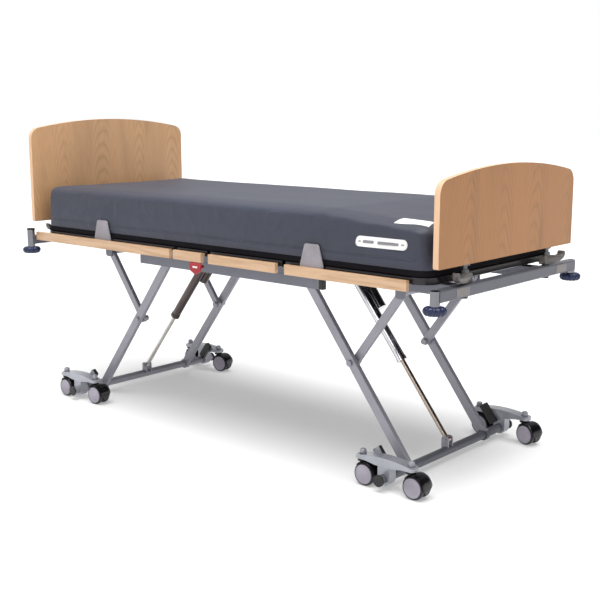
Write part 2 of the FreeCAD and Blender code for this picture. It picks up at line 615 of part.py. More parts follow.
def caster_arm(end, side):
    """Cast rocker that sits on the cross tube and carries a caster at each end and a stop plate."""
    reach = CASTER_PITCH + 20
    y0, y1 = CASTER_Y - CASTER_ARM_WIDTH / 2, CASTER_Y + CASTER_ARM_WIDTH / 2
    under, top, crown = CASTER_ARM_UNDER, CASTER_ARM_BOSS_TOP - 3, CASTER_ARM_CROWN
    points = [(-reach, under), (-reach, top), (reach, top), (reach, under), (72, under)]
    points += [(34, under - 6), (-34, under - 6), (-72, under)]
    arch = plate_xz(points, {1: (0, crown)}, y0, y1)
    arch = round_edges(arch, AXIS_Z, 14)
    web = box(-24, 24, y0 + 4, y1 - 4, AXLE_Z, crown - 14)
    hub = across(24, 0, AXLE_Z, y0 + 4, y1 - 4)
    pocket = box(26, CASTER_PITCH - 22, y0 + 7, y1 - 7, under - 10, crown - 12)
    shape = arch.fuse(web).fuse(hub).cut(pocket).cut(mirror_x(pocket))
    for s in (-1, 1):
        boss = upright(18, s * CASTER_PITCH, CASTER_Y, under, CASTER_ARM_BOSS_TOP)
        bore = upright(STEM_R + RUN_FIT, s * CASTER_PITCH, CASTER_Y, under - 10, crown + 9)
        spot_face = upright(STEM_SPOT_FACE_R, s * CASTER_PITCH, CASTER_Y, CASTER_ARM_BOSS_TOP, crown + 9)
        shape = shape.fuse(boss).cut(bore).cut(spot_face)
    shape = shape.fuse(stop_plate()).cut(across(AXLE_R + RUN_FIT, 0, AXLE_Z, STOP_IN_Y - 1, y1 + 1))
    shape.translate(V(AXLE_X, 0, 0))
    shape = shape if side > 0 else mirror_y(shape)
    return [place_end(shape, end)]


def stem_position(end, side, outer):
    return V(end * (AXLE_X + (CASTER_PITCH if outer else -CASTER_PITCH)), side * CASTER_Y, 0)


def caster_heading(end, side, outer):
    key = ("foot" if end > 0 else "head") + ("_near" if side < 0 else "_far")
    return HEADINGS[key][1 if outer else 0]


def place_caster(shape, end, side, outer):
    """Turn a caster drawn at the origin to its heading and stand it at its stem."""
    shape.rotate(ORIGIN, AXIS_Z, caster_heading(end, side, outer))
    shape.translate(stem_position(end, side, outer))
    return shape


def caster_housing(end, side, outer):
    """Stem, neck, middle plate and hood of a twin-wheel caster."""
    hood = across(HOOD_OUT_R, TRAIL, WHEEL_R, -HOOD_HALF_WIDTH, HOOD_HALF_WIDTH)
    hood = hood.cut(across(HOOD_IN_R, TRAIL, WHEEL_R, -HOOD_HALF_WIDTH - 1, HOOD_HALF_WIDTH + 1))
    keep = box(-30, TRAIL + 26, -40, 40, WHEEL_R + 14, WHEEL_R + 60)
    middle = across(HOOD_OUT_R - 1, TRAIL, WHEEL_R, -WHEEL_INNER_Y + 1.5, WHEEL_INNER_Y - 1.5)
    middle = middle.common(box(-40, 80, -20, 20, 22, 100))
    neck = upright(14, 0, 0, WHEEL_R + 34, CASTER_ARM_UNDER - 0.3)
    neck = neck.cut(across(HOOD_IN_R, TRAIL, WHEEL_R, WHEEL_INNER_Y - 1.5, 40))
    neck = neck.cut(across(HOOD_IN_R, TRAIL, WHEEL_R, -40, -WHEEL_INNER_Y + 1.5))
    stem = upright(STEM_R, 0, 0, CASTER_ARM_UNDER - 2, CASTER_ARM_BOSS_TOP + 1)
    head = upright(STEM_HEAD_R, 0, 0, CASTER_ARM_BOSS_TOP + 0.3, CASTER_ARM_BOSS_TOP + 8)
    shape = hood.common(keep).fuse(middle).fuse(neck).fuse(stem).fuse(head)
    shape = shape.cut(across(5 + RUN_FIT, TRAIL, WHEEL_R, -40, 40))
    return [place_caster(shape, end, side, outer)]


def caster_wheels(end, side, outer):
    """Two wheels on one axle."""
    wheels = across(5, TRAIL, WHEEL_R, -WHEEL_INNER_Y, WHEEL_INNER_Y)
    for s in (-1, 1):
        y0, y1 = sorted((s * WHEEL_INNER_Y, s * (WHEEL_INNER_Y + WHEEL_WIDTH)))
        wheel = across(WHEEL_R, TRAIL, WHEEL_R, y0, y1)
        rims = [e for e in wheel.Edges if isinstance(e.Curve, Part.Circle)]
        wheels = wheels.fuse(wheel.makeFillet(4, rims))
    return [place_caster(wheels, end, side, outer)]


# ---- drive and handle ----
def twin_drive():
    """Housing with the two motors for the back and thigh sections, hung from the seat section."""
    x0, x1 = DRIVE_X
    body = box(x0, x1, -DRIVE_HALF_WIDTH, DRIVE_HALF_WIDTH, DRIVE_BOTTOM, DRIVE_TOP)
    body = round_edges(body, AXIS_X, 16)
    hangers = [box(-60, -30, s * 50 - 10, s * 50 + 10, DRIVE_TOP, DECK_TOP - 14) for s in (-1, 1)]
    mount = box(x1, CROSS_X - CROSS_HALF, -40, 40, FRAME_BOTTOM + 5, FRAME_TOP - 5)
    return [body, mount] + hangers


def release_handle():
    """Shield-shaped pull with its stem and end stop."""
    half = 31
    points = [
        (HANDLE_X - half, HANDLE_TOP),
        (HANDLE_X - half + 4, HANDLE_BOTTOM + 14),
        (HANDLE_X, HANDLE_BOTTOM),
        (HANDLE_X + half - 4, HANDLE_BOTTOM + 14),
        (HANDLE_X + half, HANDLE_TOP),
    ]
    plate = plate_xz(points, {}, -HANDLE_Y - 2, -HANDLE_Y + 2)
    plate = round_edges(plate, AXIS_Y, 4)
    stem = across(3, HANDLE_X, 652, -HANDLE_Y + 2, -358)
    stop = across(7, HANDLE_X, 652, -362, -358)
    return [plate.fuse(stem).fuse(stop)]


# ---- build ----
def build():
    os.makedirs("parts", exist_ok=True)
    save("main_frame", main_frame())
    save("slide_rails", slide_rails())
    save("frame_end_caps", frame_end_caps())
    save("twin_drive", twin_drive())
    save("release_handle", release_handle())
    save("back_deck", back_deck())
    save("thigh_deck", thigh_deck())
    save("leg_deck", leg_deck())
    for section in ("back", "seat", "thigh", "leg"):
        save(section + "_trims", side_trims(section))
        save("mattress_" + section, mattress(section))
    for section in RETAINER_X:
        save(section + "_retainers", retainers(section))
    for end, name in ((-1, "head"), (1, "foot")):
        save(name + "_beam", end_beam(end))
        save(name + "board", end_panel(end))
        save(name + "board_posts", panel_posts(end))
        save(name + "_lift_legs", lift_legs(end))
        save(name + "_lift_arms", lift_arms(end))
        save(name + "_lift_cylinder", lift_cylinder(end))
        save(name + "_lift_rod", lift_rod(end))
        for side, side_name in ((-1, "near"), (1, "far")):
            save(name + "_clamp_lever_" + side_name, clamp_lever(end, side))
            save(name + "_bumper_roller_" + side_name, bumper_roller(end, side))
            save(name + "_caster_arm_" + side_name, caster_arm(end, side))
            for outer, place in ((False, "inner"), (True, "outer")):
                tag = "_".join((name, side_name, place))
                save(tag + "_caster_housing", caster_housing(end, side, outer))
                save(tag + "_caster_wheels", caster_wheels(end, side, outer))


build()
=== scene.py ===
import json
import math
from collections import namedtuple

import bmesh
import bpy
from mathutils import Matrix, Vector, noise
from mathutils.bvhtree import BVHTree


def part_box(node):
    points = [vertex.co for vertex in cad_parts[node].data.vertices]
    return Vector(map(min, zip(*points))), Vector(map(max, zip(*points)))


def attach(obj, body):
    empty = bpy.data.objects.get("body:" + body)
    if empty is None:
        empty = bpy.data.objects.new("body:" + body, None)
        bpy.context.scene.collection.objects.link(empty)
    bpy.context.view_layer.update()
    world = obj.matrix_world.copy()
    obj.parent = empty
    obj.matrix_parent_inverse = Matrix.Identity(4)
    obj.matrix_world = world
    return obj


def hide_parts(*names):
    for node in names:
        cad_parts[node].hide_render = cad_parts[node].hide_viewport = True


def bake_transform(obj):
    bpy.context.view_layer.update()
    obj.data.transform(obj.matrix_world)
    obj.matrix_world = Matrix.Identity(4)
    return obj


# Looks of the adjustable hospital bed, in metres: +X to the foot end, -Y the near side, +Z up.

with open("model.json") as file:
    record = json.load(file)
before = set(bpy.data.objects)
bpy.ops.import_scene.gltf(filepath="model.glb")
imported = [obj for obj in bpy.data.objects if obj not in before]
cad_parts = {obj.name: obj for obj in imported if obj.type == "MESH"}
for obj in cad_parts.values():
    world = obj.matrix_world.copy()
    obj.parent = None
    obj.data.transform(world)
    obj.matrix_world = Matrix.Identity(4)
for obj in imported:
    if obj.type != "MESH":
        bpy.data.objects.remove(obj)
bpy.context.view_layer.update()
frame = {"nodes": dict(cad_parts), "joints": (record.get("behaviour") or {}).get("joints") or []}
NODES = frame["nodes"]
ENDS = (("head", -1), ("foot", 1))
SIDES = (("near", -1), ("far", 1))
SECTIONS = ("back", "seat", "thigh", "leg")

# ---- colours, as 0-255 display values ----
FRAME_GREY = (110, 111, 121)
# the beam grey is also used as painted shade on the foot cross tube
BEAM_GREY_AND_TUBE_SHADE = (94, 95, 103)
LEG_GREY = (148, 147, 156)
CAST_GREY = (158, 160, 168)
DECK_GREY = (36, 33, 36)
MATTRESS_BLUE = (49, 52, 66)
BASE_BLACK = (12, 10, 15)
OAK_LIGHT = (172, 127, 86)
OAK_DARK = (130, 90, 56)
OAK_TONES = {"head": (1.10, 1.16, 1.24), "foot": (0.98, 0.91, 0.75)}
BANDING = (222, 182, 146)
MAPLE_LIGHT = (198, 164, 130)
MAPLE_DARK = (172, 134, 98)
RETAINER_GREY = (136, 132, 138)
LEVER_GREY = (90, 85, 83)
NAVY = (15, 28, 64)
DISC_GREY = (146, 140, 152)
PLASTIC_BLACK = (20, 19, 22)
LABEL_WHITE = (234, 233, 231)
PRINT_GREY = (128, 127, 131)
PLATE_GREY = (124, 119, 117)
RED = (158, 8, 28)
FLOOR_GREY = (205, 205, 205)
BRONZE_TUBE = (100, 90, 90)
BRONZE_ROD = (172, 156, 146)
SATIN_ROD = (214, 211, 206)
CHROME = (205, 205, 208)
BRIGHT_STEEL = (212, 212, 214)
POST_STEEL = (128, 128, 134)
SOCKET_STEEL = (98, 100, 100)
HOOD_BLACK = (13, 12, 15)
TYRE_BLACK = (24, 22, 28)
DRIVE_GREY = (66, 66, 70)

# ---- oak veneer, metres ----
LEAF_HALF_WIDTH, LEAF_WAVER = 0.105, 0.10
ARCH_STEEPNESS, RINGS_PER_METRE, RING_WAVER = 48.0, 34.0, 0.16

# ---- where one finish meets another on a CAD node ----
DECK_PAINT_Z, DECK_HALF_WIDTH = 0.6995, 0.401
RAIL_STRIP_LENGTH = 0.006
POST_INSET = 0.0335
SOCKET_IN_Y, SOCKET_OUT_Y, SOCKET_Z = 0.245, 0.279, 0.6975
# CROSS_TUBE_TOP bounds the foot cross tube, which is given painted shade
LEG_CAP_DEPTH, CROSS_TUBE_TOP = 0.0065, 0.0575
LEG_ROLLER_Y, LEG_ROLLER_Z = 0.2505, 0.5
ARM_FACE_MARGIN = 0.0005

# ---- lying surface ----
HINGE_Z = 0.711
SEAT_SPLIT_X, THIGH_SPLIT_X = -0.032, 0.195
HEEL_SLOPE_START, HEEL_DROP = 0.560, 0.034
BASE_BAND_TOP = 0.744
BASE_ROUNDING, BASE_REACH, BASE_SINK = 0.012, 0.055, 0.0015
BLOCK_INSET, VOXEL = 0.003, 0.014
CORNER_RADIUS, RIM_RADIUS = 0.042, 0.024
SEAM_Z, SEAM_RADIUS, SEAM_PITCH, SEAM_END_GAP = 0.774, 0.0016, 0.012, 0.05

# ---- slack of the mattress cover ----
PUFF_FRAMES, PUFF_CAP, PINNED_HEIGHT = 12, 0.006, 0.012
RIPPLE_START_SHARE = 0.12
SWELL_DEPTH, CREASE_DEPTH, FOLD_DEPTH, PUCKER_DEPTH = 0.0022, 0.0020, 0.0016, 0.0008
SEAM_PULL, SEAM_PULL_WIDTH = -0.0022, 0.008

# ---- labels, plates and levers ----
SIDE_LABEL_X, SIDE_LABEL_Z = 0.803, 0.817
SIDE_LABEL_HALF_U, SIDE_LABEL_HALF_V, SIDE_LABEL_CORNER = 0.099, 0.0165, 0.0155
SIDE_LABEL_BARS = ((-0.049, 0.021), (0.027, 0.040), (-0.083, 0.006), (0.082, 0.006))
WIDE_BAR, WIDE_BAR_HALF_V, DOT_HALF_V = 0.01, 0.0045, 0.0015
TOP_LABEL = ((0.832, -0.366), (0.825, -0.300), (0.918, -0.268), (0.950, -0.345))
LABEL_LIFT, PRINT_LIFT, TOP_LABEL_LIFT, LABEL_ROOT = 0.0018, 0.0030, 0.001, -0.001
BEAM_FACE_X, PLATE_Z, PLATE_YS = 1.056, 0.679, (-0.309, 0.330)
PLATE_HALF_U, PLATE_HALF_V, PLATE_CORNER, PLATE_THICKNESS = 0.037, 0.0135, 0.002, 0.0008
LEVER_WIDTH, LEVER_SPLAY, LEVER_HUB = 0.026, 0.24, 0.020
HANDLE_MARK_HALF_U, HANDLE_MARK_HALF_V, HANDLE_MARK_CORNER = 0.013, 0.0035, 0.003
HANDLE_MARK_DROP, HANDLE_MARK_SINK = 0.017, 0.0002
RAY_START_Y, RAY_START_Z = 0.6, 1.2

# ---- casters ----
ARM_INNER_Y = 0.344
WHEEL_R, WHEEL_IN_Y, WHEEL_OUT_Y = 0.040, 0.009, 0.028
HOOD_IN_R, HOOD_OUT_R, HOOD_HALF_WIDTH = 0.0413, 0.0440, 0.0290
HOOD_FROM, HOOD_TO = math.radians(-12), math.radians(152)
HOOD_END_WIDTH, HOOD_FIRST_TAPER, HOOD_LAST_TAPER = 0.62, 0.16, 0.22
WEB_FROM_DEG, WEB_SWEEP_DEG, WEB_GAP = -28, 236, 0.0016
NECK_TOP, CAP_BOTTOM = 0.0876, 0.1013

# ---- studio: the world's levels run from one X or Z of the view direction to another ----
WORLD_SIDE_X, WORLD_SIDE_SHADE, WORLD_SIDE_Z = (0.0, 0.35), 0.92, (0.20, 0.30)
WORLD_DIM_Z, WORLD_OVERHEAD = (0.20, 0.5), 0.36
FLOOR_HALF, FLOOR_GLOW = 40, 0.32
SUN_POWER, SUN_SPREAD, SUN_FROM = 4.2, math.radians(55), (0.12, -0.10, 1)
SOFTBOXES = (
    # name, place, target, size, power
    ("front_softbox", (4.2, -2.4, 2.0), (0.1, 0, 0.6), (1.6, 1.6), 4),
    ("bed_softbox", (0.5, -0.2, 2.4), (-1.03, 0, 0.95), (1.2, 0.8), 18),
    ("near_strip", (1.2, -4.4, 1.9), (0.3, 0, 0.5), (3.0, 0.7), 24),
)
CAMERA_PLACE, CAMERA_LENS, SENSOR_WIDTH = (2.7059, -2.9416, 1.2273), 61.055, 36
CAMERA_AZIMUTH, CAMERA_TILT = math.radians(41.325), math.radians(10.575)


# ---- small helpers ----
def rgb(colour):
    """Display colour to the linear RGBA that shaders take."""
    linear = [((c / 255 + 0.055) / 1.055) ** 2.4 if c > 10 else c / 255 / 12.92 for c in colour]
    return (*linear, 1)


def put_in_scene(name, data):
    """New object in the scene from a mesh, light or camera."""
    obj = bpy.data.objects.new(name, data)
    bpy.context.scene.collection.objects.link(obj)
    return obj


def mesh_object(name, verts, faces, smooth=True):
    """Object from points and faces, with its normals turned outwards."""
    mesh = bpy.data.meshes.new(name)
    mesh.from_pydata([tuple(v) for v in verts], [], faces)
    mesh.validate()
    bm = bmesh.new()
    bm.from_mesh(mesh)
    bmesh.ops.recalc_face_normals(bm, faces=bm.faces)
    bm.to_mesh(mesh)
    bm.free()
    mesh.polygons.foreach_set("use_smooth", [smooth] * len(mesh.polygons))
    return put_in_scene(name, mesh)


def apply_modifiers(obj):
    """Replace an object's mesh by what its modifiers make of it."""
    graph = bpy.context.evaluated_depsgraph_get()
    made = bpy.data.meshes.new_from_object(obj.evaluated_get(graph))
    obj.modifiers.clear()
    obj.data = made


def dress(obj, body, material):
    """Give an object its material and its body."""
    obj.data.materials.clear()
    obj.data.materials.append(material)
    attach(obj, body)
    return obj


def soften(obj, width, segments=3):
    """Bevel an object's hard edges and even out its shading."""
    bevel = obj.modifiers.new("edge_rounding", "BEVEL")
    bevel.width = width
    bevel.segments = segments
    bevel.limit_method = "ANGLE"
    bevel.angle_limit = math.radians(35)
    obj.modifiers.new("even_shading", "WEIGHTED_NORMAL")


def lathe(name, profile, centre, axis=(0, 0, 1), steps=48, lobes=0, lobe_depth=0.0):
    """Closed turned shape from (radius, height) points, with optional lobes round its rim."""
    turn = Vector(axis).to_track_quat("Z", "Y").to_matrix()
    verts = []
    for radius, height in profile:
        for i in range(steps):
            angle = 2 * math.pi * i / steps
            r = radius * (1 - lobe_depth * 0.5 * (1 - math.cos(lobes * angle)))
            verts.append(Vector(centre) + turn @ Vector((r * math.cos(angle), r * math.sin(angle), height)))
    faces = []
    for ring in range(len(profile) - 1):
        for i in range(steps):
            j = (i + 1) % steps
            a, b = ring * steps, (ring + 1) * steps
            faces.append((a + i, a + j, b + j, b + i))
    faces.append(tuple(range(steps))[::-1])
    faces.append(tuple(range((len(profile) - 1) * steps, len(profile) * steps)))
    return mesh_object(name, verts, faces)


def extrude_outline(name, points, place, depth):
    """Plate from a flat outline; place turns (u, v, w) into a point of the bed."""
    count = len(points)
    verts = [place(u, v, w) for w in (0, depth) for u, v in points]
    faces = [tuple(range(count))[::-1], tuple(range(count, 2 * count))]
    for i in range(count):
        j = (i + 1) % count
        faces.append((i, j, count + j, count + i))
    return mesh_object(name, verts, faces, smooth=False)


def rounded_rectangle(half_u, half_v, radius, steps=8):
    """Outline round (0, 0) with its corners rounded off."""
    points = []
    corners = ((1, 1, 0), (-1, 1, 90), (-1, -1, 180), (1, -1, 270))
    for su, sv, start in corners:
        for i in range(steps + 1):
            angle = math.radians(start + 90 * i / steps)
            u = su * (half_u - radius) + radius * math.cos(angle)
            v = sv * (half_v - radius) + radius * math.sin(angle)
            points.append((u, v))
    return points


def surface_tree(obj):
    """Search tree over an object's faces."""
    return BVHTree.FromPolygons([v.co for v in obj.data.vertices], [p.vertices for p in obj.data.polygons])


# ---- material building blocks ----
class Surface:
    """A Principled material whose grain, colour change and bump are made by nodes."""

    def __init__(self, name, colour, roughness, metallic=0.0):
        self.material = bpy.data.materials.new(name)
        self.material.use_nodes = True
        self.tree = self.material.node_tree
        self.shader = self.tree.nodes["Principled BSDF"]
        self.coords = self.add("TexCoord").outputs["Object"]
        self.height = None
        self.set("Base Color", rgb(colour))
        self.set("Roughness", roughness)
        self.set("Metallic", metallic)

    def add(self, kind, settings=None, **values):
        node = self.tree.nodes.new("ShaderNode" + kind)
        for key, value in (settings or {}).items():
            setattr(node, key, value)
        for key, value in values.items():
            node.inputs[key].default_value = value
        return node

    def link(self, start, end):
        self.tree.links.new(start, end)

    def feed(self, socket, value):
        """Link an output to a socket, or set a plain value on it."""
        if isinstance(value, bpy.types.NodeSocket):
            self.link(value, socket)
        else:
            socket.default_value = value

    def set(self, socket, value):
        self.shader.inputs[socket].default_value = value

    def noise(self, scale, detail=4.0, stretch=(1, 1, 1), distortion=0.0):
        """Noise whose features are drawn out along an axis where stretch is small."""
        mapping = self.add("Mapping")
        mapping.inputs["Scale"].default_value = stretch
        self.link(self.coords, mapping.inputs["Vector"])
        texture = self.add("TexNoise", Scale=scale, Detail=detail, Distortion=distortion)
        self.link(mapping.outputs["Vector"], texture.inputs["Vector"])
        return texture.outputs["Fac"]

    def ramp(self, factor, stops):
        node = self.add("ValToRGB")
        elements = node.color_ramp.elements
        while len(elements) < len(stops):
            elements.new(0.5)
        for element, (position, colour) in zip(elements, stops):
            element.position = position
            element.color = rgb(colour)
        self.link(factor, node.inputs["Fac"])
        return node.outputs["Color"]

    def mix(self, factor, first, second):
        node = self.add("Mix", {"data_type": "RGBA"})
        # inputs 6 and 7 and output 2 are the node's colour sockets
        for number, value in ((0, factor), (6, first), (7, second)):
            self.feed(node.inputs[number], value)
        return node.outputs[2]

    def math(self, operation, first, second=0.0):
        node = self.add("Math", {"operation": operation})
        for number, value in ((0, first), (1, second)):
            self.feed(node.inputs[number], value)
        return node.outputs[0]

    def clouded(self, factor, colour, dark, light):
        """Colour that drifts between a darker and a lighter shade of itself."""
        return self.ramp(factor, ((0.3, shade(colour, dark)), (0.7, shade(colour, light))))

    def colour(self, output):
        self.link(output, self.shader.inputs["Base Color"])

    def vary_roughness(self, factor, low, high):
        node = self.add("MapRange")
        node.inputs["To Min"].default_value = low
        node.inputs["To Max"].default_value = high
        self.link(factor, node.inputs["Value"])
        self.link(node.outputs["Result"], self.shader.inputs["Roughness"])

    def bump(self, factor, distance, strength=1.0):
        """Raise the surface by factor times distance, on top of earlier bumps."""
        node = self.add("Bump", Strength=strength, Distance=distance)
        self.link(factor, node.inputs["Height"])
        if self.height:
            self.link(self.height, node.inputs["Normal"])
        self.height = node.outputs["Normal"]
        self.link(self.height, self.shader.inputs["Normal"])


def shade(colour, factor):
    """Colour made lighter or darker by one factor, or by one for each channel."""
    factors = factor if isinstance(factor, tuple) else (factor,) * 3
    return tuple(min(255, c * f) for c, f in zip(colour, factors))


def powder_coat(name, colour, roughness=0.4, metallic=0.3):
    """Baked paint: slight cloudiness, metallic speckle and orange peel."""
    s = Surface(name, colour, roughness, metallic)
    cloud = s.noise(5, 3)
    speckle = s.noise(900, 2)
    base = s.clouded(cloud, colour, 0.94, 1.05)
    fleck = s.ramp(speckle, ((0.45, shade(colour, 0.9)), (0.65, shade(colour, 1.12))))
    s.colour(s.mix(0.35, base, fleck))
    s.vary_roughness(cloud, roughness - 0.05, roughness + 0.07)
    s.bump(s.noise(420, 3), 0.00012, 0.6)
    return s.material


def cast_metal(name, colour):
    """Lacquered casting with a slightly uneven skin."""
    s = Surface(name, colour, 0.3, 0.55)
    cloud = s.noise(9, 4)
    s.colour(s.clouded(cloud, colour, 0.9, 1.08))
    s.vary_roughness(s.noise(60, 4), 0.24, 0.42)
    s.bump(s.noise(260, 4), 0.0003, 0.5)
    s.set("Coat Weight", 0.25)
    s.set("Coat Roughness", 0.2)
    return s.material


def drawn_metal(name, colour, roughness, stretch):
    """Polished bar or tube with fine marks along its length."""
    s = Surface(name, colour, roughness, 1.0)
    marks = s.noise(700, 3, stretch)
    s.colour(s.clouded(s.noise(8, 3), colour, 0.92, 1.04))
    s.vary_roughness(marks, roughness * 0.7, roughness * 1.5)
    s.bump(marks, 0.00003, 0.5)
    return s.material


def moulded(name, colour, roughness, grain=500, depth=0.00015):
    """Moulded plastic or rubber with a fine spark-eroded grain."""
    s = Surface(name, colour, roughness)
    cloud = s.noise(14, 4)
    s.colour(s.clouded(cloud, colour, 0.9, 1.1))
    s.vary_roughness(cloud, roughness * 0.85, roughness * 1.2)
    s.bump(s.noise(grain, 3), depth, 0.5)
    return s.material


def oak_laminate(end):
    """Vertical oak veneer: arched figures up the middle of each leaf, straight grain between, pale edges."""
    light, dark = shade(OAK_LIGHT, OAK_TONES[end]), shade(OAK_DARK, OAK_TONES[end])
    s = Surface("oak_laminate_" + end, light, 0.42)
    place = s.add("SeparateXYZ")
    s.link(s.coords, place.inputs["Vector"])
    waver = s.noise(3.0, 3, (1, 1.4, 0.45))
    across_leaf = s.math("ADD", place.outputs["Y"], s.math("MULTIPLY", waver, LEAF_WAVER))
    from_heart = s.math("PINGPONG", across_leaf, LEAF_HALF_WIDTH)
    arch = s.math("MULTIPLY", s.math("MULTIPLY", from_heart, from_heart), ARCH_STEEPNESS)
    climb = s.math("ADD", place.outputs["Z"], s.math("MULTIPLY", s.noise(6, 5, (1, 1.6, 0.25)), RING_WAVER))
    rings = s.math("PINGPONG", s.math("MULTIPLY", s.math("ADD", climb, arch), RINGS_PER_METRE), 1.0)
    figure = s.ramp(rings, ((0.0, shade(dark, 0.96)), (0.3, shade(light, 0.94)), (1.0, shade(light, 1.05))))
    plainness = s.noise(2.7, 2, (1, 2.4, 0.8))
    broad = s.noise(3.2, 3, (1, 3.0, 0.35), 0.6)
    tone = s.ramp(broad, ((0.3, shade(light, 0.86)), (0.5, shade(light, 0.97)), (0.7, shade(light, 1.02))))
    pores = s.noise(60, 4, (1, 9, 0.28))
    streaks = s.ramp(pores, ((0.35, shade(dark, 0.85)), (0.62, light)))
    face = s.mix(0.2, s.mix(s.math("MULTIPLY", plainness, 0.75), tone, figure), streaks)
    eyes = s.ramp(s.noise(5.2, 3, (1, 2.4, 0.55), 0.4), ((0.63, (0, 0, 0)), (0.74, (150, 150, 150))))
    face = s.mix(eyes, face, rgb(shade(dark, 0.9)))
    normal = s.add("SeparateXYZ")
    s.link(s.add("TexCoord").outputs["Normal"], normal.inputs["Vector"])
    is_edge = s.math("LESS_THAN", s.math("ABSOLUTE", normal.outputs["X"]), 0.5)
    edge = s.ramp(s.noise(40, 3, (1, 1, 0.15)), ((0.3, shade(BANDING, 0.94)), (0.7, BANDING)))
    s.colour(s.mix(is_edge, face, edge))
    s.vary_roughness(pores, 0.36, 0.5)
    s.bump(pores, 0.00015, 0.4)
    return s.material


def maple_lacquer():
    """Pale wood strip with grain along its length."""
    s = Surface("maple_lacquer", MAPLE_LIGHT, 0.35)
    grain = s.noise(26, 5, (0.16, 1, 2.6), 0.8)
    fine = s.noise(160, 3, (0.08, 1, 2.0))
    tone = s.ramp(grain, ((0.3, MAPLE_DARK), (0.55, MAPLE_LIGHT), (0.8, shade(MAPLE_LIGHT, 1.03))))
    s.colour(s.mix(0.25, tone, s.ramp(fine, ((0.35, MAPLE_DARK), (0.65, MAPLE_LIGHT)))))
    s.bump(fine, 0.0001, 0.4)
    s.set("Coat Weight", 0.3)
    s.set("Coat Roughness", 0.25)
    return s.material


def follow_rest_place(surface):
    """Take coordinates from the stored rest_place, so the weave keeps its place when the bed folds."""
    surface.coords = surface.add("Attribute", {"attribute_name": "rest_place"}).outputs["Vector"]


def mattress_fabric():
    """Coated stretch knit."""
    s = Surface("mattress_fabric", MATTRESS_BLUE, 0.6)
    follow_rest_place(s)
    cloud = s.noise(4.5, 4, (1, 1, 1.6))
    cover = s.clouded(cloud, MATTRESS_BLUE, 0.92, 1.07)
    knit = s.noise(1100, 2)
    thread = s.ramp(knit, ((0.4, shade(MATTRESS_BLUE, 0.7)), (0.6, shade(MATTRESS_BLUE, 1.3))))
    s.colour(s.mix(0.12, cover, thread))
    s.vary_roughness(cloud, 0.5, 0.66)
    s.bump(s.noise(5.5, 4, (0.5, 1, 1.7), 0.8), 0.006, 0.5)
    s.bump(s.noise(26, 3, (0.5, 1, 1.4)), 0.0012, 0.4)
    s.bump(knit, 0.0002, 0.6)
    s.set("Specular IOR Level", 0.4)
    s.set("Sheen Weight", 0.08)
    s.set("Sheen Roughness", 0.5)
    return s.material


def base_fabric():
    """Matt black non-slip fabric round the foot of the mattress."""
    s = Surface("mattress_base_fabric", BASE_BLACK, 0.85)
    follow_rest_place(s)
    weave = s.noise(900, 2)
    s.colour(s.ramp(weave, ((0.4, shade(BASE_BLACK, 0.7)), (0.6, shade(BASE_BLACK, 1.3)))))
    s.bump(weave, 0.0003, 0.6)
    s.set("Specular IOR Level", 0.15)
    return s.material


def vinyl_label(name, colour):
    """Printed film or painted plate."""
    s = Surface(name, colour, 0.45)
    s.colour(s.ramp(s.noise(40, 3), ((0.3, shade(colour, 0.96)), (0.7, colour))))
    s.bump(s.noise(700, 2), 0.0001, 0.4)
    return s.material


FINISH = {
    "frame_paint": powder_coat("frame_coating", FRAME_GREY),
    # beam paint, also used as painted shade on the foot cross tube
    "beam_paint_and_tube_shade": powder_coat("beam_coating_and_tube_shade", BEAM_GREY_AND_TUBE_SHADE),
    "deck_paint": powder_coat("deck_coating", DECK_GREY, 0.22, 0.3),
    "leg_paint": powder_coat("leg_coating", LEG_GREY),
    "cast_alloy": cast_metal("cast_alloy", CAST_GREY),
    "head_cylinder": drawn_metal("bronze_tube", BRONZE_TUBE, 0.3, (1, 1, 0.05)),
    "foot_cylinder": drawn_metal("chrome_tube", CHROME, 0.16, (1, 1, 0.05)),
    "head_rod": drawn_metal("satin_rod", SATIN_ROD, 0.28, (1, 1, 0.05)),
    "foot_rod": drawn_metal("bronze_rod", BRONZE_ROD, 0.2, (1, 1, 0.05)),
    "bright_steel": drawn_metal("bright_steel", BRIGHT_STEEL, 0.2, (1, 1, 0.08)),
    "post_steel": drawn_metal("post_steel", POST_STEEL, 0.16, (1, 1, 0.08)),
    "socket_steel": drawn_metal("socket_steel", SOCKET_STEEL, 0.34, (1, 1, 0.08)),
    "black_plastic": moulded("black_plastic", PLASTIC_BLACK, 0.45),
    "gloss_black": moulded("gloss_black", HOOD_BLACK, 0.16, 300, 0.00004),
    "tyre": moulded("caster_tyre", TYRE_BLACK, 0.34, 400),
    "disc": moulded("caster_disc", DISC_GREY, 0.4),
    "drive": moulded("drive_housing", DRIVE_GREY, 0.55, 300, 0.0003),
    "navy": moulded("navy_roller", NAVY, 0.4, 350, 0.0002),
    "retainer": moulded("retainer_plastic", RETAINER_GREY, 0.5),
    "lever": moulded("lever_plastic", LEVER_GREY, 0.3),
    "red": moulded("red_plastic", RED, 0.28),
    "head_oak": oak_laminate("head"),
    "foot_oak": oak_laminate("foot"),
    "maple": maple_lacquer(),
    "mattress": mattress_fabric(),
    "mattress_base": base_fabric(),
    "label": vinyl_label("white_label", LABEL_WHITE),
    "print": vinyl_label("label_print", PRINT_GREY),
    "plate": vinyl_label("grey_plate", PLATE_GREY),
}


# ---- carried-over CAD nodes ----
def finish_node(name, finish, rounding=0.0):
    """Give a CAD node one finish and, where wanted, rounded edges."""
    node = NODES[name]
    node.data.materials.clear()
    node.data.materials.append(FINISH[finish])
    if rounding:
        soften(node, rounding)


def paint_region(name, finish, inside):
    """Give the faces of a node whose middle passes the test another finish."""
    mesh = NODES[name].data
    mesh.materials.append(FINISH[finish])
    index = len(mesh.materials) - 1
    for face in mesh.polygons:
        if inside(face.center):
            face.material_index = index


